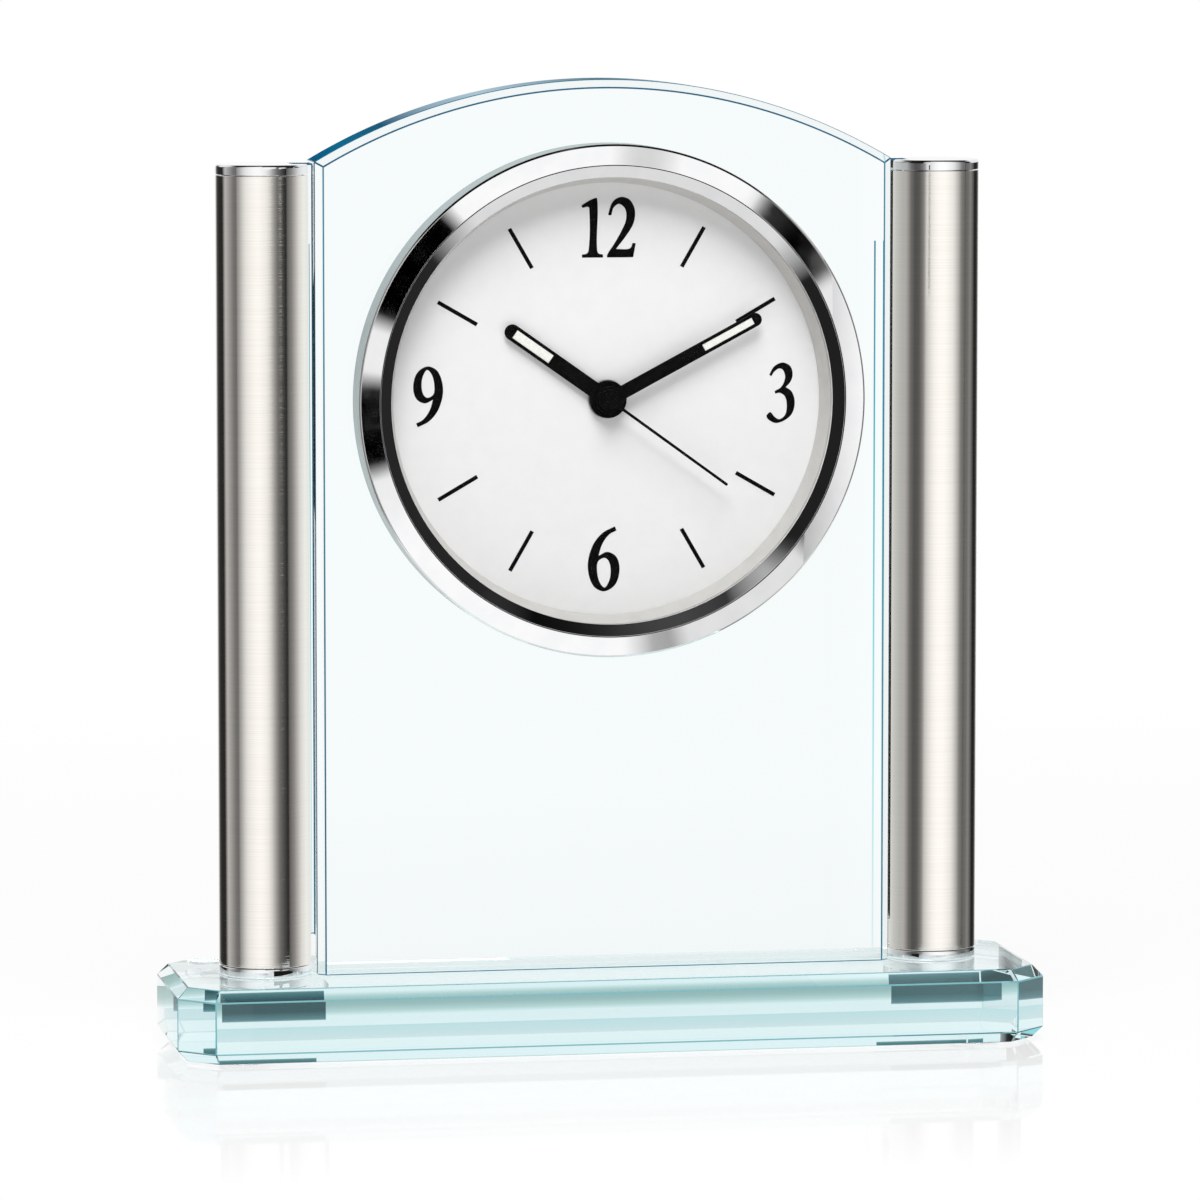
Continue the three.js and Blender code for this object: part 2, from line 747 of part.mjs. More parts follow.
// Coil on its core, whose flat ends lie on the stator's legs.
function coil() {
  const middle = statorBack + seat + statorThickness / 2;
  const length = coilRight - coilLeft - 2 * gap;
  const winding = solidOf(new THREE.CylinderGeometry(coilRadius, coilRadius, length, roundSmall)
    .rotateZ(Math.PI / 2).translate((coilLeft + coilRight) / 2, middle, coilRise));
  const core = box(coilLeft - legWidth, coilRight + legWidth, middle - statorThickness / 2,
    middle + statorThickness / 2, coilRise - coreWidth / 2, coilRise + coreWidth / 2);
  const reach = coilRadius + seat;
  const cheeks = [coilLeft + gap, coilRight - gap - coilCheek].map((x) => (
    box(x, x + coilCheek, middle - reach, middle + reach, coilRise - reach, coilRise + reach)
  ));
  return join([winding, core, ...cheeks]);
}

function battery() {
  const half = batteryLength / 2;
  const profile = [
    [0, -half], [batteryRadius, -half], [batteryRadius, half - batteryTipLength],
    [batteryTipRadius, half - batteryTipLength], [batteryTipRadius, half], [0, half],
  ];
  const corners = [...profile, profile[0]].map(([radius, x]) => new THREE.Vector2(radius, x));
  const geometry = new THREE.LatheGeometry(corners, roundSmall).rotateZ(-Math.PI / 2);
  return solidOf(geometry.translate(0, batteryY, -batteryDrop));
}

// Contact strip on a battery end, with a tab that reaches the shell's side wall.
function batteryContact(side) {
  const near = side * (batteryLength / 2 + gap);
  const far = side * (batteryLength / 2 + gap + contactThickness);
  const wall = side * (movementWidth / 2 - movementWall - seat);
  const front = batteryY - contactWidth / 2;
  const below = -batteryDrop - contactWidth / 2;
  const above = -batteryDrop + contactWidth / 2;
  return join([
    box(near, far, front, front + contactWidth, below, above),
    box(near, wall, front, front + contactThickness, below, above),
  ]);
}

// Toothed outline with one tooth centred on the direction toothAt.
function gearOutline(teeth, module, toothAt) {
  const pitchRadius = teeth * module / 2;
  const root = pitchRadius - toothRoot * module;
  const tip = pitchRadius + toothTip * module;
  const corners = [[-rootShare, root], [-tipShare, tip], [tipShare, tip], [rootShare, root]];
  const outline = [];
  for (let i = 0; i < teeth; i += 1) {
    for (const [share, radius] of corners) {
      const angle = toothAt + (i + share) * 2 * Math.PI / teeth;
      outline.push([radius * Math.cos(angle), radius * Math.sin(angle)]);
    }
  }
  return outline;
}

function gear(teeth, module, toothAt, front, back, place = centre) {
  const outline = gearOutline(teeth, module, toothAt).map(([x, z]) => [x + place.x, z + place.y]);
  return facing(polygon(outline), front, back);
}

function wheel(teeth, module, toothAt, layer, place) {
  return gear(teeth, module, toothAt, layer, layer + wheelThickness, place);
}

// Tooth direction of a gear that lies in a direction from its partner, so that their teeth interleave.
function meshing(direction, teeth, partnerTeeth = teeth, partnerTooth = direction) {
  return direction + Math.PI + Math.PI / teeth - (partnerTooth - direction) * partnerTeeth / teeth;
}

function arbor(place) {
  return disc(arborRadius, arborFront, arborBack, roundTiny, place);
}

// Rotor: a magnet and its pinion on a thin arbor.
function rotor() {
  return join([
    gear(rotorTeeth, rotorModule, rotorDirection + Math.PI, intermediateLayer - pinionOverlap,
      magnetLayer + pinionOverlap, rotorPlace),
    disc(magnetRadius, magnetLayer, magnetBack, roundSmall, rotorPlace),
    arbor(rotorPlace),
  ]);
}

function intermediateWheel() {
  return join([
    wheel(intermediateTeeth, rotorModule, meshing(rotorDirection + Math.PI, intermediateTeeth),
      intermediateLayer, intermediatePlace),
    gear(intermediatePinionTeeth, intermediateModule, intermediateDirection + Math.PI,
      secondLayer - pinionOverlap, intermediateLayer + pinionOverlap, intermediatePlace),
    arbor(intermediatePlace),
  ]);
}

// Second wheel: its long arbor passes through the cannon pinion and carries the second hand.
function secondWheel() {
  return join([
    wheel(secondTeeth, intermediateModule, meshing(intermediateDirection + Math.PI, secondTeeth),
      secondLayer),
    gear(secondPinionTeeth, secondModule, thirdDirection, thirdLayer - pinionOverlap,
      secondLayer + pinionOverlap),
    disc(secondArborRadius, secondHandBack - bossHeight / 2, arborBack, roundTiny),
  ]);
}

function thirdWheel() {
  return join([
    wheel(thirdTeeth, secondModule, meshing(thirdDirection, thirdTeeth), thirdLayer, thirdPlace),
    gear(thirdPinionTeeth, thirdModule, thirdDirection + Math.PI, centreLayer - pinionOverlap,
      thirdLayer + pinionOverlap, thirdPlace),
    arbor(thirdPlace),
  ]);
}

function centreWheel() {
  const blank = wheel(centreTeeth, thirdModule, meshing(thirdDirection + Math.PI, centreTeeth), centreLayer);
  return cut(blank, [disc(cannonRadius + running, centreLayer - gap, thirdLayer, roundSmall)]);
}

// Cannon pinion: the tube of the minute hand with its pinion; the centre wheel grips its rear end.
function cannonPinion() {
  const back = centreLayer + wheelThickness + seat;
  const tube = disc(cannonRadius, minuteHandBack - bossHeight / 2, back, roundSmall);
  const pinion = gear(cannonTeeth, cannonModule, minuteDirection, minuteLayer - pinionOverlap,
    minuteLayer + wheelThickness + pinionOverlap);
  return cut(join([tube, pinion]), [disc(cannonBore, minuteHandBack - bossHeight, thirdLayer, roundSmall)]);
}

function minuteWheel() {
  const blank = join([
    wheel(minuteTeeth, cannonModule, minuteTooth, minuteLayer, minutePlace),
    gear(minutePinionTeeth, hourModule, minuteDirection + Math.PI, hourLayer - pinionOverlap,
      minuteLayer + pinionOverlap, minutePlace),
  ]);
  return cut(blank, [disc(arborRadius + running, plateBack, centreLayer, roundTiny, minutePlace)]);
}

// Hour wheel with the tube that carries the hour hand.
function hourWheel() {
  const blank = wheel(hourTeeth, hourModule, meshing(minuteDirection + Math.PI, hourTeeth), hourLayer);
  const tube = disc(hourTubeOuter, hourHandBack - bossHeight / 2, hourLayer + wheelThickness, roundSmall);
  return cut(join([blank, tube]), [disc(hourTubeInner, hourHandBack - bossHeight, minuteLayer, roundSmall)]);
}

// Setting stem: its pinion meets the minute wheel and its fluted knob stands behind the case.
function settingStem() {
  const knobFront = caseBackOuter + gap;
  const flutes = [];
  for (let i = 0; i < 2 * knobFlutes; i += 1) {
    const corner = polar(stemPlace, knobRadius - (i % 2) * knobFluteDepth, i * Math.PI / knobFlutes);
    flutes.push([corner.x, corner.y]);
  }
  return join([
    wheel(stemTeeth, cannonModule, meshing(stemDirection, stemTeeth, minuteTeeth, minuteTooth), minuteLayer,
      stemPlace),
    disc(stemRadius, arborFront, knobFront + knobHeight / 2, roundSmall, stemPlace),
    facing(polygon(flutes), knobFront, knobFront + knobHeight),
  ]);
}

// A bar with round ends that points away from the centre, turned clockwise from twelve.
function bar(start, end, width, turn) {
  const direction = Math.PI / 2 - turn * 2 * Math.PI;
  const near = polar(centre, start + width / 2, direction);
  const far = polar(centre, end - width / 2, direction);
  const outline = new THREE.Shape();
  outline.absarc(far.x, far.y, width / 2, direction - Math.PI / 2, direction + Math.PI / 2, false);
  outline.absarc(near.x, near.y, width / 2, direction + Math.PI / 2, direction + 1.5 * Math.PI, false);
  outline.closePath();
  return outline;
}

// A bar with square ends that points away from the centre, turned clockwise from twelve.
function strip(start, end, width, turn) {
  const direction = Math.PI / 2 - turn * 2 * Math.PI;
  const across = polar(centre, width / 2, direction + Math.PI / 2);
  const corners = [[start, 1], [start, -1], [end, -1], [end, 1]].map(([distance, side]) => (
    polar(centre, distance, direction).addScaledVector(across, side)
  ));
  return new THREE.Shape(corners);
}

// Hand: a flat bar on a round boss, bored for the tube that carries it and slotted for its luminous insert.
function slottedHand({ back, length, width, turn, bossRadius, tubeOuter, tubeInner, slot }) {
  const plateRear = back - handOffset;
  const blank = join([
    disc(bossRadius, back - bossHeight, back, roundSmall),
    facing(bar(-width / 2, length, width, turn), plateRear - handThickness, plateRear),
  ]);
  return cut(blank, [
    facing(slot, back - bossHeight, back),
    disc(tubeOuter + pressFit, back - bossHeight / 2 - seat, back + gap, roundSmall),
    disc(tubeInner, back - bossHeight - gap, back, roundSmall),
  ]);
}

function hourHand() {
  return slottedHand({
    back: hourHandBack,
    length: hourHandLength,
    width: hourHandWidth,
    turn: hourTurn,
    bossRadius: hourBossRadius,
    tubeOuter: hourTubeOuter,
    tubeInner: hourTubeInner,
    slot: strip(hourLumeStart, hourLumeEnd, hourLumeWidth, hourTurn),
  });
}

function minuteHand() {
  return slottedHand({
    back: minuteHandBack,
    length: minuteHandLength,
    width: minuteHandWidth,
    turn: minuteTurn,
    bossRadius: minuteBossRadius,
    tubeOuter: cannonRadius,
    tubeInner: cannonBore,
    slot: strip(minuteLumeStart, minuteLumeEnd, minuteLumeWidth, minuteTurn),
  });
}

function secondHand() {
  const back = secondHandBack;
  const plateRear = back - handOffset;
  const outline = bar(-secondHandWidth / 2, secondHandLength, secondHandWidth, secondTurn);
  const blank = join([
    disc(secondBossRadius, back - bossHeight, back, roundSmall),
    facing(outline, plateRear - handThickness, plateRear),
  ]);
  const bore = disc(secondArborRadius + pressFit, back - bossHeight / 2 - seat, back + gap, roundTiny);
  return cut(blank, [bore]);
}

function lume(back, start, end, width, turn) {
  const plateRear = back - handOffset;
  const outline = strip(start + pressFit, end - pressFit, width - 2 * pressFit, turn);
  return facing(outline, plateRear - handThickness, plateRear);
}

for (const [side, name] of [[-1, 'left'], [1, 'right']]) {
  piece(clock, `pillar_tube_${name}`, pillarTube(side), materials.brushedNickel);
  piece(clock, `pillar_cap_${name}`, pillarCap(side), materials.chrome);
  piece(clock, `pillar_collar_${name}`, pillarCollar(side), materials.chrome);
  piece(clock, `pillar_rod_${name}`, pillarRod(side), materials.steel);
  piece(clock, `rod_washer_${name}`, rodWasher(side), materials.steel);
  piece(clock, `base_pad_front_${name}`, basePad(side, -1), materials.clearPad);
  piece(clock, `base_pad_back_${name}`, basePad(side, 1), materials.clearPad);
}
piece(clock, 'base_block', baseBlock(), materials.glass);
piece(clock, 'upright_slab', uprightSlab(), materials.glass);

piece(insert, 'bezel', bezel(), materials.chrome);
piece(insert, 'lens', disc(dialRadius, lensFront, lensBack, roundInsert), materials.lens);
piece(insert, 'reflector_ring', reflectorRing(), materials.cream);
piece(insert, 'dial_plate', dialPlate(), materials.dial);
piece(insert, 'insert_case', insertCase(), materials.casePlastic);
piece(insert, 'grip_gasket', gripGasket(), materials.rubber);
piece(insert, 'battery_cover', batteryCover(), materials.casePlastic);
caseScrewPlaces().forEach((place, i) => {
  piece(insert, `case_screw_${i + 1}`, caseScrew(place), materials.steel);
});

piece(insert, 'front_shell', frontShell(), materials.shellPlastic);
piece(insert, 'back_shell', backShell(), materials.shellPlastic);
piece(insert, 'train_bridge', trainBridge(), materials.shellPlastic);
piece(insert, 'stator', stator(), materials.steel);
piece(insert, 'coil', coil(), materials.copper);
piece(insert, 'circuit_board', circuitBoard(), materials.board);
piece(insert, 'quartz_can', quartzCan(), materials.steel);
piece(insert, 'battery', battery(), materials.battery);
piece(insert, 'contact_negative', batteryContact(-1), materials.steel);
piece(insert, 'contact_positive', batteryContact(1), materials.steel);

piece(insert, 'rotor', rotor(), materials.steel);
piece(insert, 'intermediate_wheel', intermediateWheel(), materials.wheelPlastic);
piece(insert, 'second_wheel', secondWheel(), materials.wheelPlastic);
piece(insert, 'third_wheel', thirdWheel(), materials.wheelPlastic);
piece(insert, 'centre_wheel', centreWheel(), materials.wheelPlastic);
piece(insert, 'cannon_pinion', cannonPinion(), materials.wheelPlastic);
piece(insert, 'minute_wheel', minuteWheel(), materials.wheelPlastic);
piece(insert, 'hour_wheel', hourWheel(), materials.wheelPlastic);
piece(insert, 'setting_stem', settingStem(), materials.casePlastic);

piece(insert, 'hour_hand', hourHand(), materials.hand);
piece(insert, 'minute_hand', minuteHand(), materials.hand);
piece(insert, 'second_hand', secondHand(), materials.hand);
const hourLume = lume(hourHandBack, hourLumeStart, hourLumeEnd, hourLumeWidth, hourTurn);
const minuteLume = lume(minuteHandBack, minuteLumeStart, minuteLumeEnd, minuteLumeWidth, minuteTurn);
piece(insert, 'hour_hand_lume', hourLume, materials.lume);
piece(insert, 'minute_hand_lume', minuteLume, materials.lume);

export default clock;
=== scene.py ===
# Looks of the crystal desk clock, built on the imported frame.
# Lengths are in millimetres, as in the part, and every mesh is scaled to metres once, when it is made.
# Only the camera, the lamp and the depth of surface relief are in metres.
import json
import math

import bmesh
import bpy
from mathutils import Matrix, Vector


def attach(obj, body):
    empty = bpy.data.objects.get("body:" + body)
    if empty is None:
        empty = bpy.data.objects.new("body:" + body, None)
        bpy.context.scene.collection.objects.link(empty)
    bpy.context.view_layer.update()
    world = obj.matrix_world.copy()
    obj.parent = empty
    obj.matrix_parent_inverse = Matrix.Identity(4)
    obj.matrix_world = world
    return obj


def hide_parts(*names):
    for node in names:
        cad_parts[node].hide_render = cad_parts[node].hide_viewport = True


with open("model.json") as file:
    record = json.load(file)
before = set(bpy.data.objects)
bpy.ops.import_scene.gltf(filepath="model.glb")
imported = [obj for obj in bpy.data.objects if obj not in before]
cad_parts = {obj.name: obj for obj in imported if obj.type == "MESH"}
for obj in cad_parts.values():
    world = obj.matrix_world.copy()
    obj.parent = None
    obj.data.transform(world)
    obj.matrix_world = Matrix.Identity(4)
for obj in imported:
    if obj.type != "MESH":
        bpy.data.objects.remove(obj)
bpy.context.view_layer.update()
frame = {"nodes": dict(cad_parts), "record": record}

MM = 0.001
seat = 0.1
gap = 0.3

# Roundings of turned edges, from fine to soft
hairline = 0.04
crisp = 0.1
thin = 0.15
eased = 0.2
soft = 0.3

# How far a cutter reaches past what it cuts
past = 1

# Base, pads and pillars
base_bottom = 0.5
base_top = 13.6
base_half_width = 77.5
base_half_depth = 21
base_bevel_width = 1.9
base_bevel_height = 2
base_corner_cut = 6
pad_radius = 4.5
pad_height = base_bottom - seat
pad_places = [(x, y) for x in (-65.5, 65.5) for y in (-12.5, 12.5)]
pillar_x = 60
tube_radius = 8.25
tube_wall = 1.2
tube_bottom = 15.4
tube_top = 154.6
tube_edge = 0.12
cap_top = 156.4
cap_edge = 0.6
plug_radius = tube_radius - tube_wall - gap
plug_length = 5
rod_radius = 1.9
rod_play = 0.15
rod_head_radius = 3.6
rod_head_bottom = base_top + 2 * seat
rod_head_top = rod_head_bottom + 2.4
rod_socket_radius = 1.6
rod_socket_top = rod_head_bottom + 1.4
washer_bottom = rod_head_top + seat
washer_top = washer_bottom + 0.8
slot_half = 2.8

# Upright slab
slab_half = 6
slab_bevel = 1.4
slab_half_width = 51.45
arch_rise = 14.1
shoulder = 156.8
apex = shoulder + arch_rise
arch_radius = (slab_half_width ** 2 + arch_rise ** 2) / (2 * arch_rise)
tongue_half = 2.5
tongue_depth = 3.5
bore_radius = 42.6

# Fine edges ground on the glass
base_arris = 0.3
upright_arris = 0.45
arris_limit = math.radians(20)

# Insert, seen along the axis of the dial
dial_height = 114.9
bezel_radius = 45
bezel_front = -14.4
bezel_drop = 0.75
bezel_shoulder = 0.35
step_radius = 41.25
lip_radius = 39.2
step_drop = 1.25
groove = 0.15
groove_depth = 0.5
lip_back = 1.7
pocket_radius = 40.7
dial_radius = 40.4
dial_hole_radius = 3.4
flange_radius = 43.5
flange_front = -7.5
lens_front = -12.6
lens_back = -11.4
dial_front = -7.0
dial_back = -6.4
reflector_foot = 2.4
case_radius = 41.5
case_wall = 1.6
case_edge = 0.6
case_inner = 9.2
case_outer = 10.4
case_hole_radius = 1.2
gasket_thickness = 0.8
gasket_half = 4.5
gasket_flat_half = 3
stem_place = (-14.05, -1.23)
screw_places = [(-22.6, -7.5), (22.6, -7.5)]
screw_radius = 0.9
screw_foot = -1.6
screw_head_radius = 2
screw_head_height = 1
screw_head_edge = 0.4
screw_slot_half = 0.3
screw_slot_depth = 0.5
hatch_half = (23.8, 6.6)
hatch_drop = 18.5

# Hands at the time shown. A window holds a luminous insert: its start, end and width along the hand.
hours = 10
minutes = 10
seconds = 21
turn_hour = (hours + minutes / 60 + seconds / 3600) / 12
turn_minute = (minutes + seconds / 60) / 60
turn_second = seconds / 60
hand_thickness = 0.4
hand_offset = 0.2
hand_edge = 0.08
boss_height = 0.9
hour_back = -7.6
hour_length = 22.2
hour_width = 2.8
hour_boss = 3.3
hour_window = (12.4, 20.3, 1.65)
minute_back = -8.8
minute_length = 30.7
minute_width = 2.4
minute_boss = 2.4
minute_window = (19.1, 29.1, 1.25)
second_back = -10.0
second_length = 25.9
second_width = 0.5
second_boss = 1.9
lume_play = 0.05
lume_edge = 0.05

# Fineness: faces per turn of round pieces, steps of the arch, a hand's end, a rounding and a printed curve
round_large = 288
round_medium = 128
round_small = 64
arch_steps = 96
end_steps = 16
rounding_steps = 4
print_steps = 8
smooth_limit = math.radians(31)

record = frame["record"]
slot_of = {part["node"]: part["material_slot"] for part in record["subparts"]}
body_of = {node: body for body, nodes in record["behaviour"]["bodies"].items() for node in nodes}


# Values of the finishes: noise is used over its middle, and some clear pieces are hidden from most rays.
noise_start = 0.3
noise_end = 0.7
all_but_sight = ("Shadow", "Diffuse", "Glossy")
colourless = (1, 1, 1)
glass_tint = (0.15, 0.76, 0.82)
glass_density = 8
slab_density = 1.6

# Painted sheen on the slab's curved top: its colours by distance from the middle, its share, and where it
# sets in
crown_painted_sheen_colours = [
    (0, (0.10, 0.19, 0.24)), (12, (0.30, 0.44, 0.52)), (22, (0.45, 0.60, 0.70)), (31, (0.28, 0.42, 0.52)),
    (39, (0.01, 0.10, 0.19)), (46, (0.0, 0.15, 0.28)), (51, (0.0, 0.10, 0.22)),
]
crown_painted_sheen_share = 0.95
edge_on_from = 0.62
edge_on_to = 0.8


# Material building

def new_material(name):
    material = bpy.data.materials.new(name)
    material.use_nodes = True
    tree = material.node_tree
    return material, tree, tree.nodes["Principled BSDF"]


def add_node(tree, kind, **inputs):
    node = tree.nodes.new(kind)
    for name, value in inputs.items():
        node.inputs[name.replace("_", " ")].default_value = value
    return node


def surface_input(tree):
    return tree.nodes["Material Output"].inputs["Surface"]


def object_place(tree):
    return tree.nodes.new("ShaderNodeTexCoord").outputs["Object"]


def ray_is(tree, kind):
    return tree.nodes.new("ShaderNodeLightPath").outputs[f"Is {kind} Ray"]


def split(tree, vector):
    """The X, Y and Z of a vector."""
    parts = tree.nodes.new("ShaderNodeSeparateXYZ")
    tree.links.new(vector, parts.inputs[0])
    return parts.outputs


def noise(tree, scale, stretch=(1, 1, 1)):
    mapping = add_node(tree, "ShaderNodeMapping", Scale=stretch)
    texture = add_node(tree, "ShaderNodeTexNoise", Scale=scale, Detail=4)
    tree.links.new(object_place(tree), mapping.inputs["Vector"])
    tree.links.new(mapping.outputs["Vector"], texture.inputs["Vector"])
    return texture.outputs["Fac"]


def maths(tree, operation, *values):
    node = tree.nodes.new("ShaderNodeMath")
    node.operation = operation
    for socket, value in zip(node.inputs, values):
        if isinstance(value, (int, float)):
            socket.default_value = value
        else:
            tree.links.new(value, socket)
    return node.outputs[0]


def spread(tree, value, low, high, start=noise_start, end=noise_end):
    """Start to end becomes low to high, and what lies outside stays at the nearer one."""
    node = add_node(tree, "ShaderNodeMapRange", From_Min=start, From_Max=end, To_Min=low, To_Max=high)
    tree.links.new(value, node.inputs["Value"])
    return node.outputs["Result"]


def ramp(tree, value, stops, position=lambda place: place):
    """Colours along a value: each stop has a place, which position maps to 0 to 1, and a grey or colour."""
    node = tree.nodes.new("ShaderNodeValToRGB")
    elements = node.color_ramp.elements
    while len(elements) > 1:
        elements.remove(elements[0])
    for i, (place, level) in enumerate(stops):
        element = elements[0] if i == 0 else elements.new(position(place))
        element.position = position(place)
        element.color = (*(level if isinstance(level, tuple) else (level,) * 3), 1)
    tree.links.new(value, node.inputs["Fac"])
    return node.outputs["Color"]


def tints(tree, value, dark, light):
    return ramp(tree, value, [(noise_start, dark), (noise_end, light)])


def blend(tree, share, first, second):
    """A share of the second shader over the first."""
    mix = tree.nodes.new("ShaderNodeMixShader")
    tree.links.new(share, mix.inputs["Fac"])
    tree.links.new(first, mix.inputs[1])
    tree.links.new(second, mix.inputs[2])
    return mix.outputs["Shader"]


def relief(tree, shader, height, strength, depth):
    bump = add_node(tree, "ShaderNodeBump", Strength=strength, Distance=depth)
    tree.links.new(height, bump.inputs["Height"])
    tree.links.new(bump.outputs["Normal"], shader.inputs["Normal"])


def rough(tree, shader, value, low, high):
    tree.links.new(spread(tree, value, low, high), shader.inputs["Roughness"])


def surface(name, dark, light, scale, roughness, bump=0.0, metallic=0.0, stretch=(1, 1, 1), depth=0.0001,
            ior=1.5):
    """An opaque finish: colour, roughness and relief all vary with one noise."""
    material, tree, shader = new_material(name)
    shader.inputs["Metallic"].default_value = metallic
    shader.inputs["IOR"].default_value = ior
    grain = noise(tree, scale, stretch)
    tree.links.new(tints(tree, grain, dark, light), shader.inputs["Base Color"])
    rough(tree, shader, grain, *roughness)
    if bump:
        relief(tree, shader, grain, bump, depth)
    return material


def clear(name, colour, absorption, density, roughness=(0.0, 0.012), ior=1.5, through=(0.95, 0.98, 0.98),
          hidden=("Shadow", "Diffuse")):
    """Clear glass or plastic, which the hidden kinds of ray pass straight through."""
    material, tree, shader = new_material(name)
    shader.inputs["Base Color"].default_value = (*colour, 1)
    shader.inputs["Transmission Weight"].default_value = 1
    shader.inputs["IOR"].default_value = ior
    rough(tree, shader, noise(tree, 60), *roughness)
    either = ray_is(tree, hidden[0])
    for kind in hidden[1:]:
        either = maths(tree, "MAXIMUM", either, ray_is(tree, kind))
    straight = add_node(tree, "ShaderNodeBsdfTransparent", Color=(*through, 1))
    tree.links.new(blend(tree, either, shader.outputs["BSDF"], straight.outputs["BSDF"]), surface_input(tree))
    if density:
        volume = add_node(tree, "ShaderNodeVolumeAbsorption", Color=(*absorption, 1), Density=density)
        tree.links.new(volume.outputs["Volume"], tree.nodes["Material Output"].inputs["Volume"])
    return material


def over(material, shader, share):
    """Lays another shader over a share of a material, for the camera alone."""
    tree = material.node_tree
    below = surface_input(tree).links[0].from_socket
    share = maths(tree, "MULTIPLY", share, ray_is(tree, "Camera"))
    tree.links.new(blend(tree, share, below, shader.outputs["BSDF"]), surface_input(tree))
    return material


def crown_with_painted_sheen():
    """The long curved top of the slab, with a painted sheen: where it is seen edge on, a glossy layer for the
    camera alone, painted deep blue at its ends and pale between.
    """
    material = clear("glass_crown_painted_sheen", (0.05, 0.68, 0.86), glass_tint, glass_density, ior=1.007,
                     hidden=all_but_sight)
    tree = material.node_tree
    out = maths(tree, "ABSOLUTE", split(tree, object_place(tree))["X"])
    out = spread(tree, out, 0, 1, 0, slab_half_width * MM)
    sheen = add_node(tree, "ShaderNodeBsdfGlossy", Roughness=0.05)
    tree.links.new(ramp(tree, out, crown_painted_sheen_colours, lambda x: x / slab_half_width), sheen.inputs["Color"])
    facing = tree.nodes.new("ShaderNodeLayerWeight").outputs["Facing"]
    return over(material, sheen, spread(tree, facing, 0, crown_painted_sheen_share, edge_on_from, edge_on_to))


def arris_with_painted_shade(name, colour, share):
    """A narrow edge of glass with painted shade: for the camera, part of it is a matt layer in a deep colour.
    """
    material = clear(name, colour, glass_tint, glass_density, hidden=all_but_sight)
    matt = add_node(material.node_tree, "ShaderNodeBsdfDiffuse", Color=(*colour, 1))
    return over(material, matt, share)


def winding(name):
    """Enamelled copper wire, wound in fine turns across the coil."""
    material, tree, shader = new_material(name)
    shader.inputs["Metallic"].default_value = 0.9
    turns = add_node(tree, "ShaderNodeTexWave", Scale=3000, Distortion=0.6)
    tree.links.new(object_place(tree), turns.inputs["Vector"])
    tree.links.new(tints(tree, turns.outputs["Fac"], (0.24, 0.07, 0.03), (0.66, 0.26, 0.12)),
                   shader.inputs["Base Color"])
    rough(tree, shader, turns.outputs["Fac"], 0.25, 0.4)
    relief(tree, shader, turns.outputs["Fac"], 0.5, 0.0001)
    return material


finishes = {
    "glass": clear("clear_glass", colourless, glass_tint, glass_density),
    "clear_pad": clear("clear_pad_plastic", (0.96, 0.98, 0.98), (0.8, 0.9, 0.9), 4, (0.1, 0.25), ior=1.45),
    "lens_glass": clear("lens_crystal", colourless, colourless, 0, (0.0, 0.004), ior=1.05,
                        through=colourless),
    "brushed_nickel": surface("brushed_nickel", (0.92, 0.88, 0.82), (0.98, 0.945, 0.90), 1, (0.07, 0.12),
                              bump=0.5, metallic=1, stretch=(22, 22, 9000), depth=0.00002),
    "chrome": surface("polished_chrome", (0.91, 0.915, 0.925), (0.97, 0.97, 0.975), 220, (0.02, 0.06),
                      metallic=1),
    "steel": surface("plain_steel", (0.30, 0.31, 0.32), (0.46, 0.47, 0.48), 2, (0.22, 0.4),
                     bump=0.2, metallic=1, stretch=(300, 300, 2500), depth=0.00002),
    "black_rubber": surface("black_rubber", (0.008, 0.009, 0.010), (0.022, 0.023, 0.025), 1800, (0.6, 0.85),
                            bump=0.4),
    "reflector": surface("cream_wall", (0.51, 0.50, 0.48), (0.56, 0.55, 0.53), 400, (0.3, 0.45), bump=0.05),
    "dial_white": surface("dial_paint", (0.83, 0.83, 0.83), (0.85, 0.85, 0.85), 300, (0.6, 0.7)),
    "hand_black": surface("black_lacquer", (0.002, 0.002, 0.002), (0.005, 0.005, 0.005), 1200, (0.35, 0.5),
                          bump=0.05, ior=1.08),
    "lume": surface("pale_lume", (0.80, 0.80, 0.75), (0.92, 0.92, 0.88), 2500, (0.6, 0.8), bump=0.2),
    "case_black": surface("moulded_black", (0.016, 0.017, 0.018), (0.03, 0.031, 0.033), 2600, (0.38, 0.55),
                          bump=0.25),
    "shell_grey": surface("moulded_grey", (0.60, 0.62, 0.63), (0.72, 0.74, 0.75), 2000, (0.45, 0.6),
                          bump=0.2),
    "wheel_cream": surface("moulded_cream", (0.70, 0.66, 0.54), (0.84, 0.80, 0.70), 1500, (0.3, 0.45),
                           bump=0.15),
    "copper_wire": winding("wound_copper"),
    "board_green": surface("green_board", (0.015, 0.10, 0.045), (0.03, 0.20, 0.09), 700, (0.3, 0.45),
                           bump=0.2),
    "battery_jacket": surface("blue_jacket", (0.02, 0.08, 0.25), (0.04, 0.14, 0.38), 350, (0.25, 0.4),
                              bump=0.05),
}
slab_glass = clear("slab_glass", colourless, glass_tint, slab_density, hidden=all_but_sight)
# Painted shade along the arrises: glass tinted teal on the base, a matt deep blue for the camera on the slab
base_edge_painted_shade = clear("glass_arris_painted_shade", (0.12, 0.40, 0.46), glass_tint, glass_density, hidden=all_but_sight)
slab_edge_painted_shade = arris_with_painted_shade("slab_arris_painted_shade", (0.015, 0.14, 0.24), 0.6)
# Painted sheen on the slab's curved top, coloured by distance from its middle
crown_glass_painted_sheen = crown_with_painted_sheen()
foot_glass = clear("glass_foot", colourless, glass_tint, glass_density, ior=1.05)
# Painted shade: a darker, blue-grey copy of the chrome for the bezel's outer wall
bezel_wall_painted_shade = surface("bezel_wall_painted_shade", (0.33, 0.385, 0.40), (0.37, 0.43, 0.445), 300, (0.22, 0.26), metallic=1)


# Mesh building

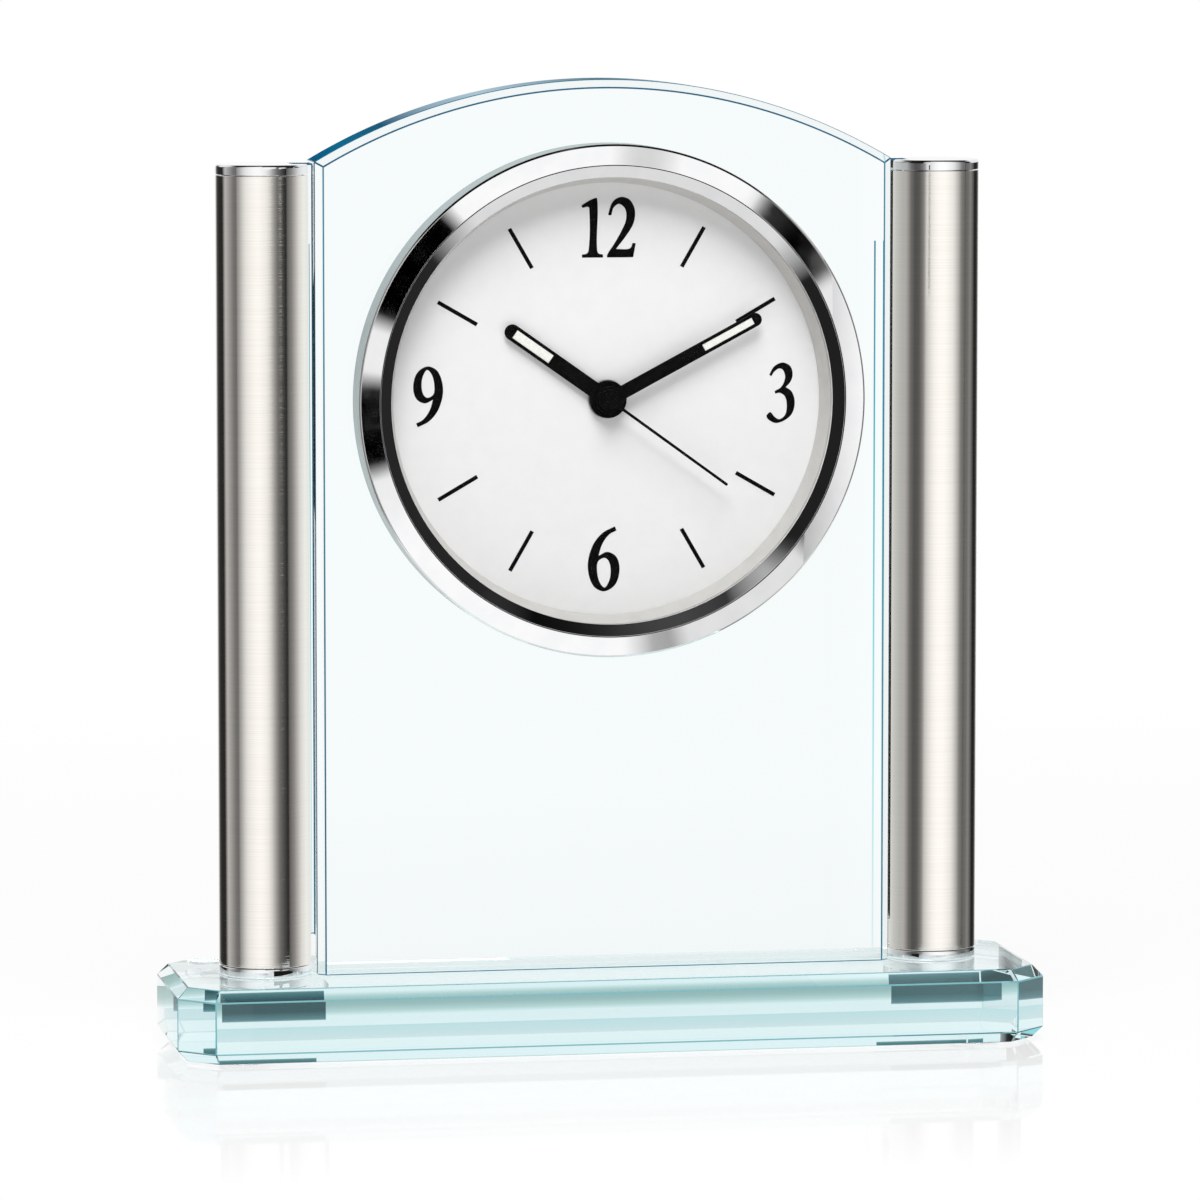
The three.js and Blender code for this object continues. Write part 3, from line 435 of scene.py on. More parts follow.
def rounded(corners):
    """A profile whose corners are rounded: each is (radius, height) or (radius, height, rounding)."""
    points = []
    count = len(corners)
    for i, corner in enumerate(corners):
        here = Vector(corner[:2])
        rounding = corner[2] if len(corner) > 2 else 0
        before = Vector(corners[i - 1][:2]) - here
        after = Vector(corners[(i + 1) % count][:2]) - here
        if not rounding or not before.length or not after.length:
            points.append(here)
            continue
        half = before.angle(after) / 2
        reach = min(rounding / math.tan(half), before.length * 0.49, after.length * 0.49)
        start = here + before.normalized() * reach
        end = here + after.normalized() * reach
        for step in range(rounding_steps + 1):
            share = step / rounding_steps
            points.append(start * (1 - share) ** 2 + here * 2 * share * (1 - share) + end * share ** 2)
    return points


def turn(profile, segments):
    """Vertices and faces of a closed profile turned about the Z axis."""
    vertices = []
    rings = []
    for radius, height in profile:
        count = 1 if radius < 1e-6 else segments
        rings.append(range(len(vertices), len(vertices) + count))
        for i in range(count):
            angle = 2 * math.pi * i / segments
            vertices.append((radius * math.cos(angle), radius * math.sin(angle), height))
    faces = []
    for low, high in zip(rings, rings[1:] + rings[:1]):
        if len(low) == 1 and len(high) == 1:
            continue
        for i in range(segments):
            j = (i + 1) % segments
            corners = [low[i % len(low)], low[j % len(low)], high[j % len(high)], high[i % len(high)]]
            faces.append(list(dict.fromkeys(corners)))
    return vertices, faces


def new_object(name, mesh, matrix):
    """Moves a mesh made in millimetres to its place, scales it to metres and smooths its round faces."""
    mesh.transform(Matrix.Scale(MM, 4) @ matrix)
    for polygon in mesh.polygons:
        polygon.use_smooth = True
    mesh.set_sharp_from_angle(angle=smooth_limit)
    piece = bpy.data.objects.new(name, mesh)
    bpy.context.scene.collection.objects.link(piece)
    return piece


def closed_mesh(name, vertices, faces):
    mesh = bpy.data.meshes.new(name)
    mesh.from_pydata([tuple(vertex) for vertex in vertices], [], faces)
    shape = bmesh.new()
    shape.from_mesh(mesh)
    bmesh.ops.recalc_face_normals(shape, faces=shape.faces)
    shape.to_mesh(mesh)
    shape.free()
    return mesh


def on_dial(place=(0, 0)):
    """Turns +Z to +Y (backwards) and moves to a place in the plane of the dial."""
    back = Matrix(((1, 0, 0, 0), (0, 0, 1, 0), (0, -1, 0, 0), (0, 0, 0, 1)))
    return Matrix.Translation((place[0], 0, dial_height + place[1])) @ back


def at(x=0, y=0, z=0):
    return Matrix.Translation((x, y, z))


def lathe(name, corners, segments, matrix):
    vertices, faces = turn(rounded(corners), segments)
    return new_object(name, closed_mesh(name, vertices, faces), matrix)


def drill(radius, low, high, segments, matrix):
    """A plain cylinder that cuts a round hole."""
    return lathe("drill", [(0, low), (radius, low), (radius, high), (0, high)], segments, matrix)


def extrusion(name, outlines, low, high, matrix, edge=0.0):
    """A plate between two heights from closed outlines; an outline inside another is a hole."""
    curve = bpy.data.curves.new(name, "CURVE")
    curve.dimensions = "2D"
    curve.fill_mode = "BOTH"
    curve.extrude = (high - low) / 2 - edge
    curve.bevel_depth = edge
    curve.bevel_resolution = 2
    curve.offset = -edge
    for outline in outlines:
        spline = curve.splines.new("POLY")
        spline.points.add(len(outline) - 1)
        spline.points.foreach_set("co", [value for x, y in outline for value in (x, y, 0, 1)])
        spline.use_cyclic_u = True
    holder = bpy.data.objects.new(name, curve)
    bpy.context.scene.collection.objects.link(holder)
    graph = bpy.context.evaluated_depsgraph_get()
    mesh = bpy.data.meshes.new_from_object(holder.evaluated_get(graph))
    bpy.data.objects.remove(holder)
    return new_object(name, mesh, matrix @ at(z=(low + high) / 2))


def carve(piece, tools, operation="DIFFERENCE"):
    """Cuts tools out of a piece, or joins them to it, and throws the tools away."""
    for tool in tools:
        modifier = piece.modifiers.new("carve", "BOOLEAN")
        modifier.operation = operation
        modifier.solver = "EXACT"
        modifier.object = tool
    graph = bpy.context.evaluated_depsgraph_get()
    mesh = bpy.data.meshes.new_from_object(piece.evaluated_get(graph))
    piece.modifiers.clear()
    piece.data = mesh
    mesh.set_sharp_from_angle(angle=smooth_limit)
    for tool in tools:
        bpy.data.objects.remove(tool)
    return piece


def block(name, low, high):
    """A box between two corners in millimetres, used as a tool and for tongues."""
    corners = [(x, y, z) for x in (low[0], high[0]) for y in (low[1], high[1]) for z in (low[2], high[2])]
    faces = [(0, 1, 3, 2), (4, 6, 7, 5), (0, 4, 5, 1), (2, 3, 7, 6), (0, 2, 6, 4), (1, 5, 7, 3)]
    return new_object(name, closed_mesh(name, corners, faces), Matrix())


def finish_piece(piece, slot, body):
    piece.data.materials.clear()
    piece.data.materials.append(finishes[slot])
    if slot == "glass":
        bevel_and_paint_edge_shade(piece)
    if slot == "chrome":
        paint_bezel_shade(piece)
    even = piece.modifiers.new("even_normals", "WEIGHTED_NORMAL")
    even.keep_sharp = True
    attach(piece, body)


def bevel_and_paint_edge_shade(piece):
    """Bevels fine arrises on the thick glass and gives them a deep colour as painted shade; the long curved
    top of the slab gets a painted sheen.
    """
    mesh = piece.data
    upright = piece.dimensions.z > piece.dimensions.y * 2
    if upright:
        looks = (slab_glass, slab_edge_painted_shade, crown_glass_painted_sheen)
    else:
        looks = (finishes["glass"], base_edge_painted_shade, foot_glass)
    mesh.materials.clear()
    for material in looks:
        mesh.materials.append(material)
    for polygon in mesh.polygons:
        apart = on_crown(polygon) if upright else on_foot(polygon)
        polygon.material_index = 2 if apart else 0
    bevel = piece.modifiers.new("arrises", "BEVEL")
    bevel.offset_type = "WIDTH"
    bevel.width = (upright_arris if upright else base_arris) * MM
    bevel.segments = 1
    bevel.limit_method = "ANGLE"
    bevel.angle_limit = arris_limit
    bevel.material = 1


def on_crown(polygon):
    """The slab's top, which faces up and lies above its shoulders."""
    return polygon.normal.z > 0.8 and polygon.center.z > (shoulder - 1) * MM


def on_foot(polygon):
    """The lower bevels and the left end of the base."""
    return -0.9 < polygon.normal.z < -0.5 or polygon.normal.x < -0.5


def paint_bezel_shade(piece):
    """Painted shade on the bezel: its outer wall gets a darker, blue-grey copy of the chrome and the fine
    groove in its front gets black, both darker than its polished front.
    """
    mesh = piece.data
    mesh.materials.append(bezel_wall_painted_shade)
    mesh.materials.append(finishes["case_black"])
    slack = 0.01
    wall_lean = 0.2
    groove_mouth = bezel_front + 0.12
    for polygon in mesh.polygons:
        x, y, z = polygon.center / MM
        out = math.hypot(x, z - dial_height)
        outermost = abs(x) < bezel_radius and out > bezel_radius - bezel_shoulder / 2
        if outermost and abs(polygon.normal.y) < wall_lean:
            polygon.material_index = 1
        # Painted shade in the groove: it is coloured black
        if step_radius - slack < out < step_radius + groove + slack and y > groove_mouth:
            polygon.material_index = 2


def stand_for(piece, node):
    finish_piece(piece, slot_of[node], body_of[node])
    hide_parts(node)


# Glass base, slab and pads

def stacked(name, levels):
    """A solid through outlines of equal length, each a list of points in space, closed at both ends."""
    count = len(levels[0])
    vertices = [point for level in levels for point in level]
    faces = [list(range(count)), list(range(count * (len(levels) - 1), count * len(levels)))]
    for row in range(len(levels) - 1):
        for i in range(count):
            j = (i + 1) % count
            low = row * count
            faces.append([low + i, low + j, low + count + j, low + count + i])
    return new_object(name, closed_mesh(name, vertices, faces), Matrix())


def base_level(inset, height):
    x = base_half_width - inset
    y = base_half_depth - inset
    cut = base_corner_cut - inset * (2 - math.sqrt(2))
    return [(-x + cut, -y, height), (x - cut, -y, height), (x, -y + cut, height), (x, y - cut, height),
            (x - cut, y, height), (-x + cut, y, height), (-x, y - cut, height), (-x, -y + cut, height)]


def base_block():
    return stacked("base_glass", [
        base_level(base_bevel_width, base_bottom), base_level(0, base_bottom + base_bevel_height),
        base_level(0, base_top - base_bevel_height), base_level(base_bevel_width, base_top),
    ])


def slab_level(inset, depth):
    half = slab_half_width - inset
    radius = arch_radius - inset
    middle = apex - arch_radius
    reach = math.asin(half / radius)
    level = [(-half, depth, base_top + seat), (half, depth, base_top + seat)]
    for step in range(arch_steps + 1):
        angle = reach - 2 * reach * step / arch_steps
        level.append((radius * math.sin(angle), depth, middle + radius * math.cos(angle)))
    return level


def upright_slab():
    slab = stacked("slab_glass", [
        slab_level(slab_bevel, -slab_half), slab_level(0, slab_bevel - slab_half),
        slab_level(0, slab_half - slab_bevel), slab_level(slab_bevel, slab_half),
    ])
    low = tube_bottom + plug_length + gap
    near_side = slab_half_width - slab_bevel
    far_side = slab_half_width + tongue_depth
    tongues = [block("tongue", (min(side * near_side, side * far_side), -tongue_half, low),
                     (max(side * near_side, side * far_side), tongue_half, cap_top)) for side in (-1, 1)]
    carve(slab, tongues, "UNION")
    reach = 1.5 * slab_half
    return carve(slab, [drill(bore_radius, -reach, reach, round_large, on_dial())])


def base_pad(name, place):
    return lathe(name, [
        (0, 0), (pad_radius, 0, crisp), (pad_radius, pad_height, crisp), (0, pad_height),
    ], round_small, at(*place))


# Pillars

def arc(radius, start, end, steps):
    angles = [start + (end - start) * i / steps for i in range(steps + 1)]
    return [(radius * math.cos(angle), radius * math.sin(angle)) for angle in angles]


def pillar_tube(name, side):
    outer = math.asin(slot_half / tube_radius)
    inner = math.asin(slot_half / (tube_radius - tube_wall))
    outline = arc(tube_radius, outer, 2 * math.pi - outer, round_medium)
    outline += arc(tube_radius - tube_wall, 2 * math.pi - inner, inner, round_medium)
    facing = Matrix.Rotation(math.pi if side > 0 else 0, 4, "Z")
    place = at(side * pillar_x) @ facing
    return extrusion(name, [outline], tube_bottom + seat, tube_top - seat, place, tube_edge)


def pillar_cap(name, side):
    plug_bottom = tube_top - plug_length
    cap = lathe(name, [
        (0, plug_bottom), (plug_radius, plug_bottom, eased), (plug_radius, tube_top),
        (tube_radius, tube_top, crisp), (tube_radius, cap_top, cap_edge), (0, cap_top),
    ], round_medium, at(side * pillar_x))
    thread = drill(rod_radius + rod_play, plug_bottom - past, tube_top, round_small, at(side * pillar_x))
    deep = side * (slab_half_width + tongue_depth + gap)
    open_end = side * (pillar_x - tube_radius - gap)
    notch = block("notch", (min(deep, open_end), -slot_half, plug_bottom - gap),
                  (max(deep, open_end), slot_half, cap_top + gap))
    return carve(cap, [thread, notch])


def pillar_collar(name, side):
    hole = rod_radius + gap
    counterbore = rod_head_radius + gap
    foot = base_top + seat
    plug_top = tube_bottom + plug_length
    return lathe(name, [
        (counterbore, foot), (tube_radius, foot, soft), (tube_radius, tube_bottom, soft),
        (plug_radius, tube_bottom), (plug_radius, plug_top), (hole, plug_top),
        (hole, washer_top + seat), (counterbore, washer_top + seat),
    ], round_medium, at(side * pillar_x))


def pillar_rod(name, side):
    return lathe(name, [
        (0, rod_socket_top), (rod_socket_radius, rod_socket_top), (rod_socket_radius, rod_head_bottom),
        (rod_head_radius, rod_head_bottom, soft), (rod_head_radius, rod_head_top), (rod_radius, rod_head_top),
        (rod_radius, tube_top - gap), (0, tube_top - gap),
    ], round_small, at(side * pillar_x))


def rod_washer(name, side):
    hole = rod_radius + rod_play
    return lathe(name, [
        (hole, washer_bottom), (rod_head_radius, washer_bottom, crisp), (rod_head_radius, washer_top, crisp),
        (hole, washer_top),
    ], round_small, at(side * pillar_x))


# Insert

def bezel():
    edge = bezel_front + bezel_drop
    groove_edge = step_radius + groove
    groove_floor = bezel_front + groove_depth
    back = -slab_half - seat
    return lathe("bezel_ring", [
        (bezel_radius, back, crisp), (bezel_radius, edge + bezel_shoulder, eased),
        (bezel_radius - bezel_shoulder, edge, eased), (groove_edge, bezel_front, hairline),
        (groove_edge, groove_floor), (step_radius, groove_floor), (step_radius, bezel_front + seat, hairline),
        (lip_radius, bezel_front + step_drop, crisp), (lip_radius, bezel_front + lip_back),
        (pocket_radius, bezel_front + lip_back), (pocket_radius, flange_front - gap),
        (flange_radius + gap, flange_front - gap), (flange_radius + gap, back),
    ], round_large, on_dial())


def lens():
    return lathe("lens_crystal_disc", [
        (0, lens_front), (dial_radius, lens_front, thin), (dial_radius, lens_back, thin), (0, lens_back),
    ], round_large, on_dial())


def reflector_ring():
    front = lens_back + seat
    back = dial_front - seat
    return lathe("reflector_wall", [
        (lip_radius, front, crisp), (dial_radius, front), (dial_radius, back),
        (dial_radius - reflector_foot, back, crisp),
    ], round_large, on_dial())


def dial_plate():
    return lathe("dial_face", [
        (dial_hole_radius, dial_front), (dial_radius, dial_front, crisp), (dial_radius, dial_back),
        (dial_hole_radius, dial_back),
    ], round_large, on_dial())


def insert_case():
    inner = case_radius - case_wall
    flange_back = -slab_half - seat
    case = lathe("case_cup", [
        (0, case_inner), (inner, case_inner, soft), (inner, dial_back + seat),
        (pocket_radius, dial_back + seat), (pocket_radius, flange_front), (flange_radius, flange_front, thin),
        (flange_radius, flange_back, thin), (case_radius, flange_back), (case_radius, case_outer, case_edge),
        (0, case_outer),
    ], round_large, on_dial())
    x, z = hatch_half
    low = case_inner - past
    high = case_outer + past
    middle = dial_height - hatch_drop
    hatch = block("hatch", (-x, low, middle - z), (x, high, middle + z))
    holes = [drill(case_hole_radius, low, high, round_small, on_dial(place))
             for place in (stem_place, *screw_places)]
    return carve(case, [hatch, *holes])


def grip_gasket():
    inner = case_radius + seat
    outer = case_radius + gasket_thickness
    return lathe("gasket_band", [
        (inner, -gasket_half), (outer - gap, -gasket_half), (outer, -gasket_flat_half),
        (outer, gasket_flat_half), (outer - gap, gasket_half), (inner, gasket_half),
    ], round_large, on_dial())


def case_screw(name, place):
    x, z = place
    seat_on = case_outer + seat
    top = seat_on + screw_head_height
    screw = lathe(name, [
        (0, screw_foot), (screw_radius, screw_foot), (screw_radius, seat_on), (screw_head_radius, seat_on),
        (screw_head_radius, top, screw_head_edge), (0, top),
    ], round_small, on_dial(place))
    reach = 1.1 * screw_head_radius
    middle = dial_height + z
    slot = block("slot", (x - reach, top - screw_slot_depth, middle - screw_slot_half),
                 (x + reach, top + gap, middle + screw_slot_half))
    return carve(screw, [slot])


# Hands

def clockwise(points, turn_share):
    """Points in the plane of the dial, laid out towards three, turned clockwise from twelve."""
    angle = math.pi / 2 - 2 * math.pi * turn_share
    return [(x * math.cos(angle) - y * math.sin(angle), -x * math.sin(angle) - y * math.cos(angle))
            for x, y in points]


def bar(start, end, width, turn_share):
    """A bar with round ends."""
    half = width / 2
    half_circle = arc(half, -math.pi / 2, math.pi / 2, end_steps)
    outline = [(end - half + x, y) for x, y in half_circle] + [(start + half - x, -y) for x, y in half_circle]
    return clockwise(outline, turn_share)


def strip(start, end, width, turn_share):
    """A bar with square ends."""
    half = width / 2
    return clockwise([(start, -half), (end, -half), (end, half), (start, half)], turn_share)


def hand(name, back, length, width, turn_share, boss_radius, window=None):
    rear = back - hand_offset
    top = back - boss_height
    outlines = [bar(-width / 2, length, width, turn_share)]
    if window:
        outlines.append(strip(*window, turn_share))
    plate = extrusion(name, outlines, rear - hand_thickness, rear, on_dial(), hand_edge)
    boss = lathe("boss", [
        (0, top), (boss_radius, top, eased), (boss_radius, back, crisp), (0, back),
    ], round_small, on_dial())
    return carve(plate, [boss], "UNION")


def lume(name, back, window, turn_share):
    start, end, width = window
    rear = back - hand_offset
    outline = strip(start + lume_play, end - lume_play, width - 2 * lume_play, turn_share)
    return extrusion(name, [outline], rear - hand_thickness, rear, on_dial(), lume_edge)


# Printing on the dial: outlines about the middle of each figure. A point with 1 is a corner.

one = [(0.65, 5.24), (0.85, 5.09), (0.85, -3.94), (1.1, -4.52), (1.85, -4.7, 1), (1.91, -5.24, 1),
       (-1.88, -5.24, 1), (-1.86, -4.7, 1), (-0.99, -4.52), (-0.68, -3.94), (-0.56, 3.34), (-0.68, 3.62),
       (-1.09, 3.65), (-1.77, 3.52), (-1.91, 3.88), (-1.74, 4.06)]
two = [(-2.37, 2.2, 1), (-1.78, 4.09), (-0.96, 4.97), (0.14, 5.3), (1.51, 4.76), (2.42, 2.92), (2.19, 0.76),
       (1.32, -0.85), (-0.96, -3.82, 1), (1.32, -3.82), (1.78, -3.46), (2.01, -2.83), (2.56, -2.87, 1),
       (2.1, -5.3, 1), (-2.56, -5.3, 1), (-2.56, -4.9), (-1.23, -2.83), (0.05, -0.58), (0.82, 1.3),
       (0.68, 3.19), (-0.41, 4.07), (-1.37, 3.46), (-1.78, 2.16, 1), (-2.1, 2.07)]
three = [(-2.05, 3.23, 1), (-1.19, 4.67), (0.37, 5.34), (1.73, 4.67), (2.14, 3.28), (1.78, 1.98),
         (0.91, 0.99, 1), (1.96, 0.22), (2.54, -1.75), (1.83, -4.0), (-0.64, -5.34), (-2.19, -4.72),
         (-2.54, -4.04), (-1.87, -3.41), (-1.1, -4.22), (-0.27, -4.67), (0.78, -3.95), (1.1, -2.2),
         (0.73, -0.63), (-0.18, 0), (-1.0, -0.15, 1), (-1.1, 0.31, 1), (0.09, 1.03), (0.78, 2.65),
         (0.41, 4.0), (-0.27, 4.31), (-1.14, 3.77), (-1.72, 2.94, 1)]
six = [(2.0, 5.73, 1), (2.29, 5.01, 1), (0.98, 4.3), (-0.28, 2.58), (-0.91, 0.57, 1), (0.65, 1.24),
       (2.25, 0.38), (2.85, -1.86), (2.05, -4.58), (0.06, -5.73), (-1.83, -4.77), (-2.85, -1.34),
       (-2.02, 2.29), (-0.28, 4.54)]
six_hole = [(0.16, 0.19), (0.94, -0.48), (1.25, -2.39), (0.89, -4.11), (0.16, -5.06), (-0.76, -4.01),
            (-1.2, -1.72), (-0.96, -0.38)]
figures = [
    ("figure_one", [one], (-2.6, 30.12), 1),
    ("figure_two", [two], (2.57, 30.18), 1),
    ("figure_three", [three], (31.16, 0.69), 1),
    ("figure_six", [six, six_hole], (-0.59, -28.23), 1),
    ("figure_nine", [six, six_hole], (-31.8, 0.8), -0.93),
]
mark_hours = [1, 2, 4, 5, 7, 8, 10, 11]
mark_start = 26.7
mark_end = 34.7
mark_width = 0.7
ink_thickness = 0.03


def flowing(points):
    """A closed outline through the points, smooth except at its corners."""
    outline = []
    count = len(points)
    for i in range(count):
        here, there = points[i], points[(i + 1) % count]
        before = here if len(here) > 2 else points[i - 1]
        after = there if len(there) > 2 else points[(i + 2) % count]
        p0, p1, p2, p3 = (Vector(point[:2]) for point in (before, here, there, after))
        chord = (p2 - p1).length
        lead = math.sqrt(chord / ((p1 - p0).length or chord))
        tail = math.sqrt(chord / ((p3 - p2).length or chord))
        start = (p2 - p1) + ((p1 - p0) * lead * lead - (p2 - p1)) / (1 + lead) if p0 != p1 else p2 - p1
        end = (p2 - p1) + ((p3 - p2) * tail * tail - (p2 - p1)) / (1 + tail) if p3 != p2 else p2 - p1
        for step in range(print_steps):
            t = step / print_steps
            outline.append(tuple(
                p1 * (2 * t ** 3 - 3 * t ** 2 + 1) + start * (t ** 3 - 2 * t ** 2 + t)
                + p2 * (3 * t ** 2 - 2 * t ** 3) + end * (t ** 3 - t ** 2)
            ))
    return outline


def print_on_dial(name, outlines):
    ink = extrusion(name, outlines, dial_front - ink_thickness, dial_front, on_dial())
    finish_piece(ink, "hand_black", "clock")


for figure, outlines, (centre_x, centre_z), scale in figures:
    print_on_dial(figure, [[(centre_x + scale * x, -centre_z - scale * z) for x, z in flowing(outline)]
                           for outline in outlines])
for hour in mark_hours:
    print_on_dial(f"hour_mark_{hour}", [strip(mark_start, mark_end, mark_width, hour / 12)])


# All the pieces

stand_for(base_block(), "base_block")
stand_for(upright_slab(), "upright_slab")
for place, (depth, name) in zip(pad_places, [(d, s) for s in ("left", "right") for d in ("front", "back")]):
    stand_for(base_pad(f"pad_{depth}_{name}", place), f"base_pad_{depth}_{name}")
for side, name in ((-1, "left"), (1, "right")):
    stand_for(pillar_tube(f"tube_{name}", side), f"pillar_tube_{name}")
    stand_for(pillar_cap(f"cap_{name}", side), f"pillar_cap_{name}")
    stand_for(pillar_collar(f"collar_{name}", side), f"pillar_collar_{name}")
    stand_for(pillar_rod(f"rod_{name}", side), f"pillar_rod_{name}")
    stand_for(rod_washer(f"washer_{name}", side), f"rod_washer_{name}")
stand_for(bezel(), "bezel")
stand_for(lens(), "lens")
stand_for(reflector_ring(), "reflector_ring")
stand_for(dial_plate(), "dial_plate")
stand_for(insert_case(), "insert_case")
stand_for(grip_gasket(), "grip_gasket")
for i, place in enumerate(screw_places, 1):
    stand_for(case_screw(f"screw_{i}", place), f"case_screw_{i}")
stand_for(hand("hour_bar", hour_back, hour_length, hour_width, turn_hour, hour_boss, hour_window),
          "hour_hand")
stand_for(hand("minute_bar", minute_back, minute_length, minute_width, turn_minute, minute_boss,
               minute_window), "minute_hand")
stand_for(hand("second_bar", second_back, second_length, second_width, turn_second, second_boss),
          "second_hand")
stand_for(lume("hour_lume", hour_back, hour_window, turn_hour), "hour_hand_lume")
stand_for(lume("minute_lume", minute_back, minute_window, turn_minute), "minute_hand_lume")

for node, piece in frame["nodes"].items():
    piece.data.materials.clear()
    piece.data.materials.append(finishes[slot_of[node]])


# Camera, fitted to the photograph: metres and degrees

camera_place = (-0.2330, -1.2887, 0.2115)
camera_tilt_down = 5.791
camera_turn = -10.25
camera_data = bpy.data.cameras.new("camera")
camera_data.lens = 222.9
camera_data.sensor_width = 36
camera_data.clip_end = 20
camera = bpy.data.objects.new("camera", camera_data)
bpy.context.scene.collection.objects.link(camera)
camera.location = camera_place
camera.rotation_euler = (math.radians(90 - camera_tilt_down), 0, math.radians(camera_turn))
bpy.context.scene.camera = camera


# Studio: surroundings by direction, floor, a soft lamp, and sheets that only some kinds of ray see.
# Levels are linear greys. Panels are given by degrees round from the front, ceiling and underside by
# degrees of elevation, and patches by azimuth, elevation, core and rim in degrees and their level.

plain_light = 0.12
underside = 0.75
panel_levels = [
    (-180, 1.0), (-168, 0.9), (-154, 0.1), (-149, 0.06), (-140, 0.025), (-121, 0.02), (-110, 0.5),
    (-96, 0.33), (-83, 0.18), (-76, 0.16), (-71, 0.015), (-37, 0.015), (-31, 0.5), (-24, 0.75),
    (-18, 0.88), (-8, 0.97), (0, 0.9), (9, 0.69), (19, 0.38), (29, 0.165), (40, 0.08), (52, 0.02),
    (94, 0.02), (103, 0.9), (128, 0.88), (150, 0.9), (180, 1.0),
]
ceiling_levels = [(-90, 1), (36, 1), (44, 0.05), (90, 0.1)]
underside_share = [(-90, 1), (-42, 1), (-32, 0), (90, 0)]
patches = [
    (6, 22, 20, 25, 1.0), (-4, -30, 15, 18, 1.0), (28, -26, 7, 9, 0.78), (15.2, 22.5, 0.5, 4, 0.7),
    (37.5, 4.5, 3.6, 5.6, 0.85), (-10.5, 13.8, 2.5, 4.5, 0), (-12.5, 11.2, 2.5, 4.5, 0),
    (-14.5, 8.5, 3, 5, 0), (-18.2, -4.5, 2, 4, 0), (-18, -9, 2, 4, 0), (30.5, 14.3, 2, 4, 0.02),
    (33, 11.5, 2, 4, 0), (45, 15, 8, 12, 0.9), (-135, 32, 16, 24, 0.9),
]


def world_light():
    """White to the camera and through glass, plain on matt surfaces; mirrors see bright and dark panels."""
    world = bpy.data.worlds.new("studio")
    bpy.context.scene.world = world
    world.use_nodes = True
    tree = world.node_tree
    direction = tree.nodes.new("ShaderNodeTexCoord").outputs["Generated"]
    parts = split(tree, direction)
    around = maths(tree, "ARCTAN2", parts["X"], maths(tree, "MULTIPLY", parts["Y"], -1))
    around = spread(tree, around, 0, 1, -math.pi, math.pi)
    rise = spread(tree, parts["Z"], 0, 1, -1, 1)
    shade = times(tree, ramp(tree, around, panel_levels, lambda degrees: degrees / 360 + 0.5),
                  ramp(tree, rise, ceiling_levels, sine_share))
    shade = switch(tree, ramp(tree, rise, underside_share, sine_share), shade, underside)
    for azimuth, elevation, core, rim, level in patches:
        shade = switch(tree, near(tree, direction, azimuth, elevation, core, rim), shade, level)
    shade = switch(tree, ray_is(tree, "Diffuse"), shade, plain_light)
    seen = maths(tree, "MAXIMUM", ray_is(tree, "Camera"), ray_is(tree, "Transmission"))
    tree.links.new(switch(tree, seen, shade, 1), tree.nodes["Background"].inputs["Color"])


def sine_share(degrees):
    return math.sin(math.radians(degrees)) / 2 + 0.5


def near(tree, direction, azimuth, elevation, core, rim):
    """One within core degrees of a direction, falling to nothing at rim degrees."""
    across, up = math.radians(azimuth), math.radians(elevation)
    towards = (math.sin(across) * math.cos(up), -math.cos(across) * math.cos(up), math.sin(up))
    dot = tree.nodes.new("ShaderNodeVectorMath")
    dot.operation = "DOT_PRODUCT"
    dot.inputs[1].default_value = towards
    tree.links.new(direction, dot.inputs[0])
    return spread(tree, dot.outputs["Value"], 0, 1, math.cos(math.radians(rim)), math.cos(math.radians(core)))


def colour_mix(tree, kind):
    """A node that mixes colours: its share, its two colours and its result."""
    mix = tree.nodes.new("ShaderNodeMix")
    mix.data_type = "RGBA"
    mix.blend_type = kind
    first, second = (socket for socket in mix.inputs if socket.type == "RGBA")
    result = next(socket for socket in mix.outputs if socket.type == "RGBA")
    return mix.inputs["Factor"], first, second, result


def times(tree, colour, factor):
    share, first, second, result = colour_mix(tree, "MULTIPLY")
    share.default_value = 1
    tree.links.new(colour, first)
    tree.links.new(factor, second)
    return result


def switch(tree, chooser, usual, level):
    """The usual colour, or a grey level where the chooser is one."""
    share, first, second, result = colour_mix(tree, "MIX")
    tree.links.new(chooser, share)
    tree.links.new(usual, first)
    second.default_value = (level, level, level, 1)
    return result


def plane(name, corners, material):
    mesh = bpy.data.meshes.new(name)
    mesh.from_pydata([tuple(value * MM for value in corner) for corner in corners], [], [range(len(corners))])
    mesh.materials.append(material)
    sheet = bpy.data.objects.new(name, mesh)
    bpy.context.scene.collection.objects.link(sheet)
    return sheet


# Table: its own light and its matt level, the share and reach of its mirror image, how much faster that
# fades at the sides, and from where to where the table turns plain white
table_reach = 4000
table_glow = 0.9
table_matt = 0.12
mirror_share = 0.24
mirror_reach = 120
mirror_side_fade = 3
white_from = 100
white_to = 500


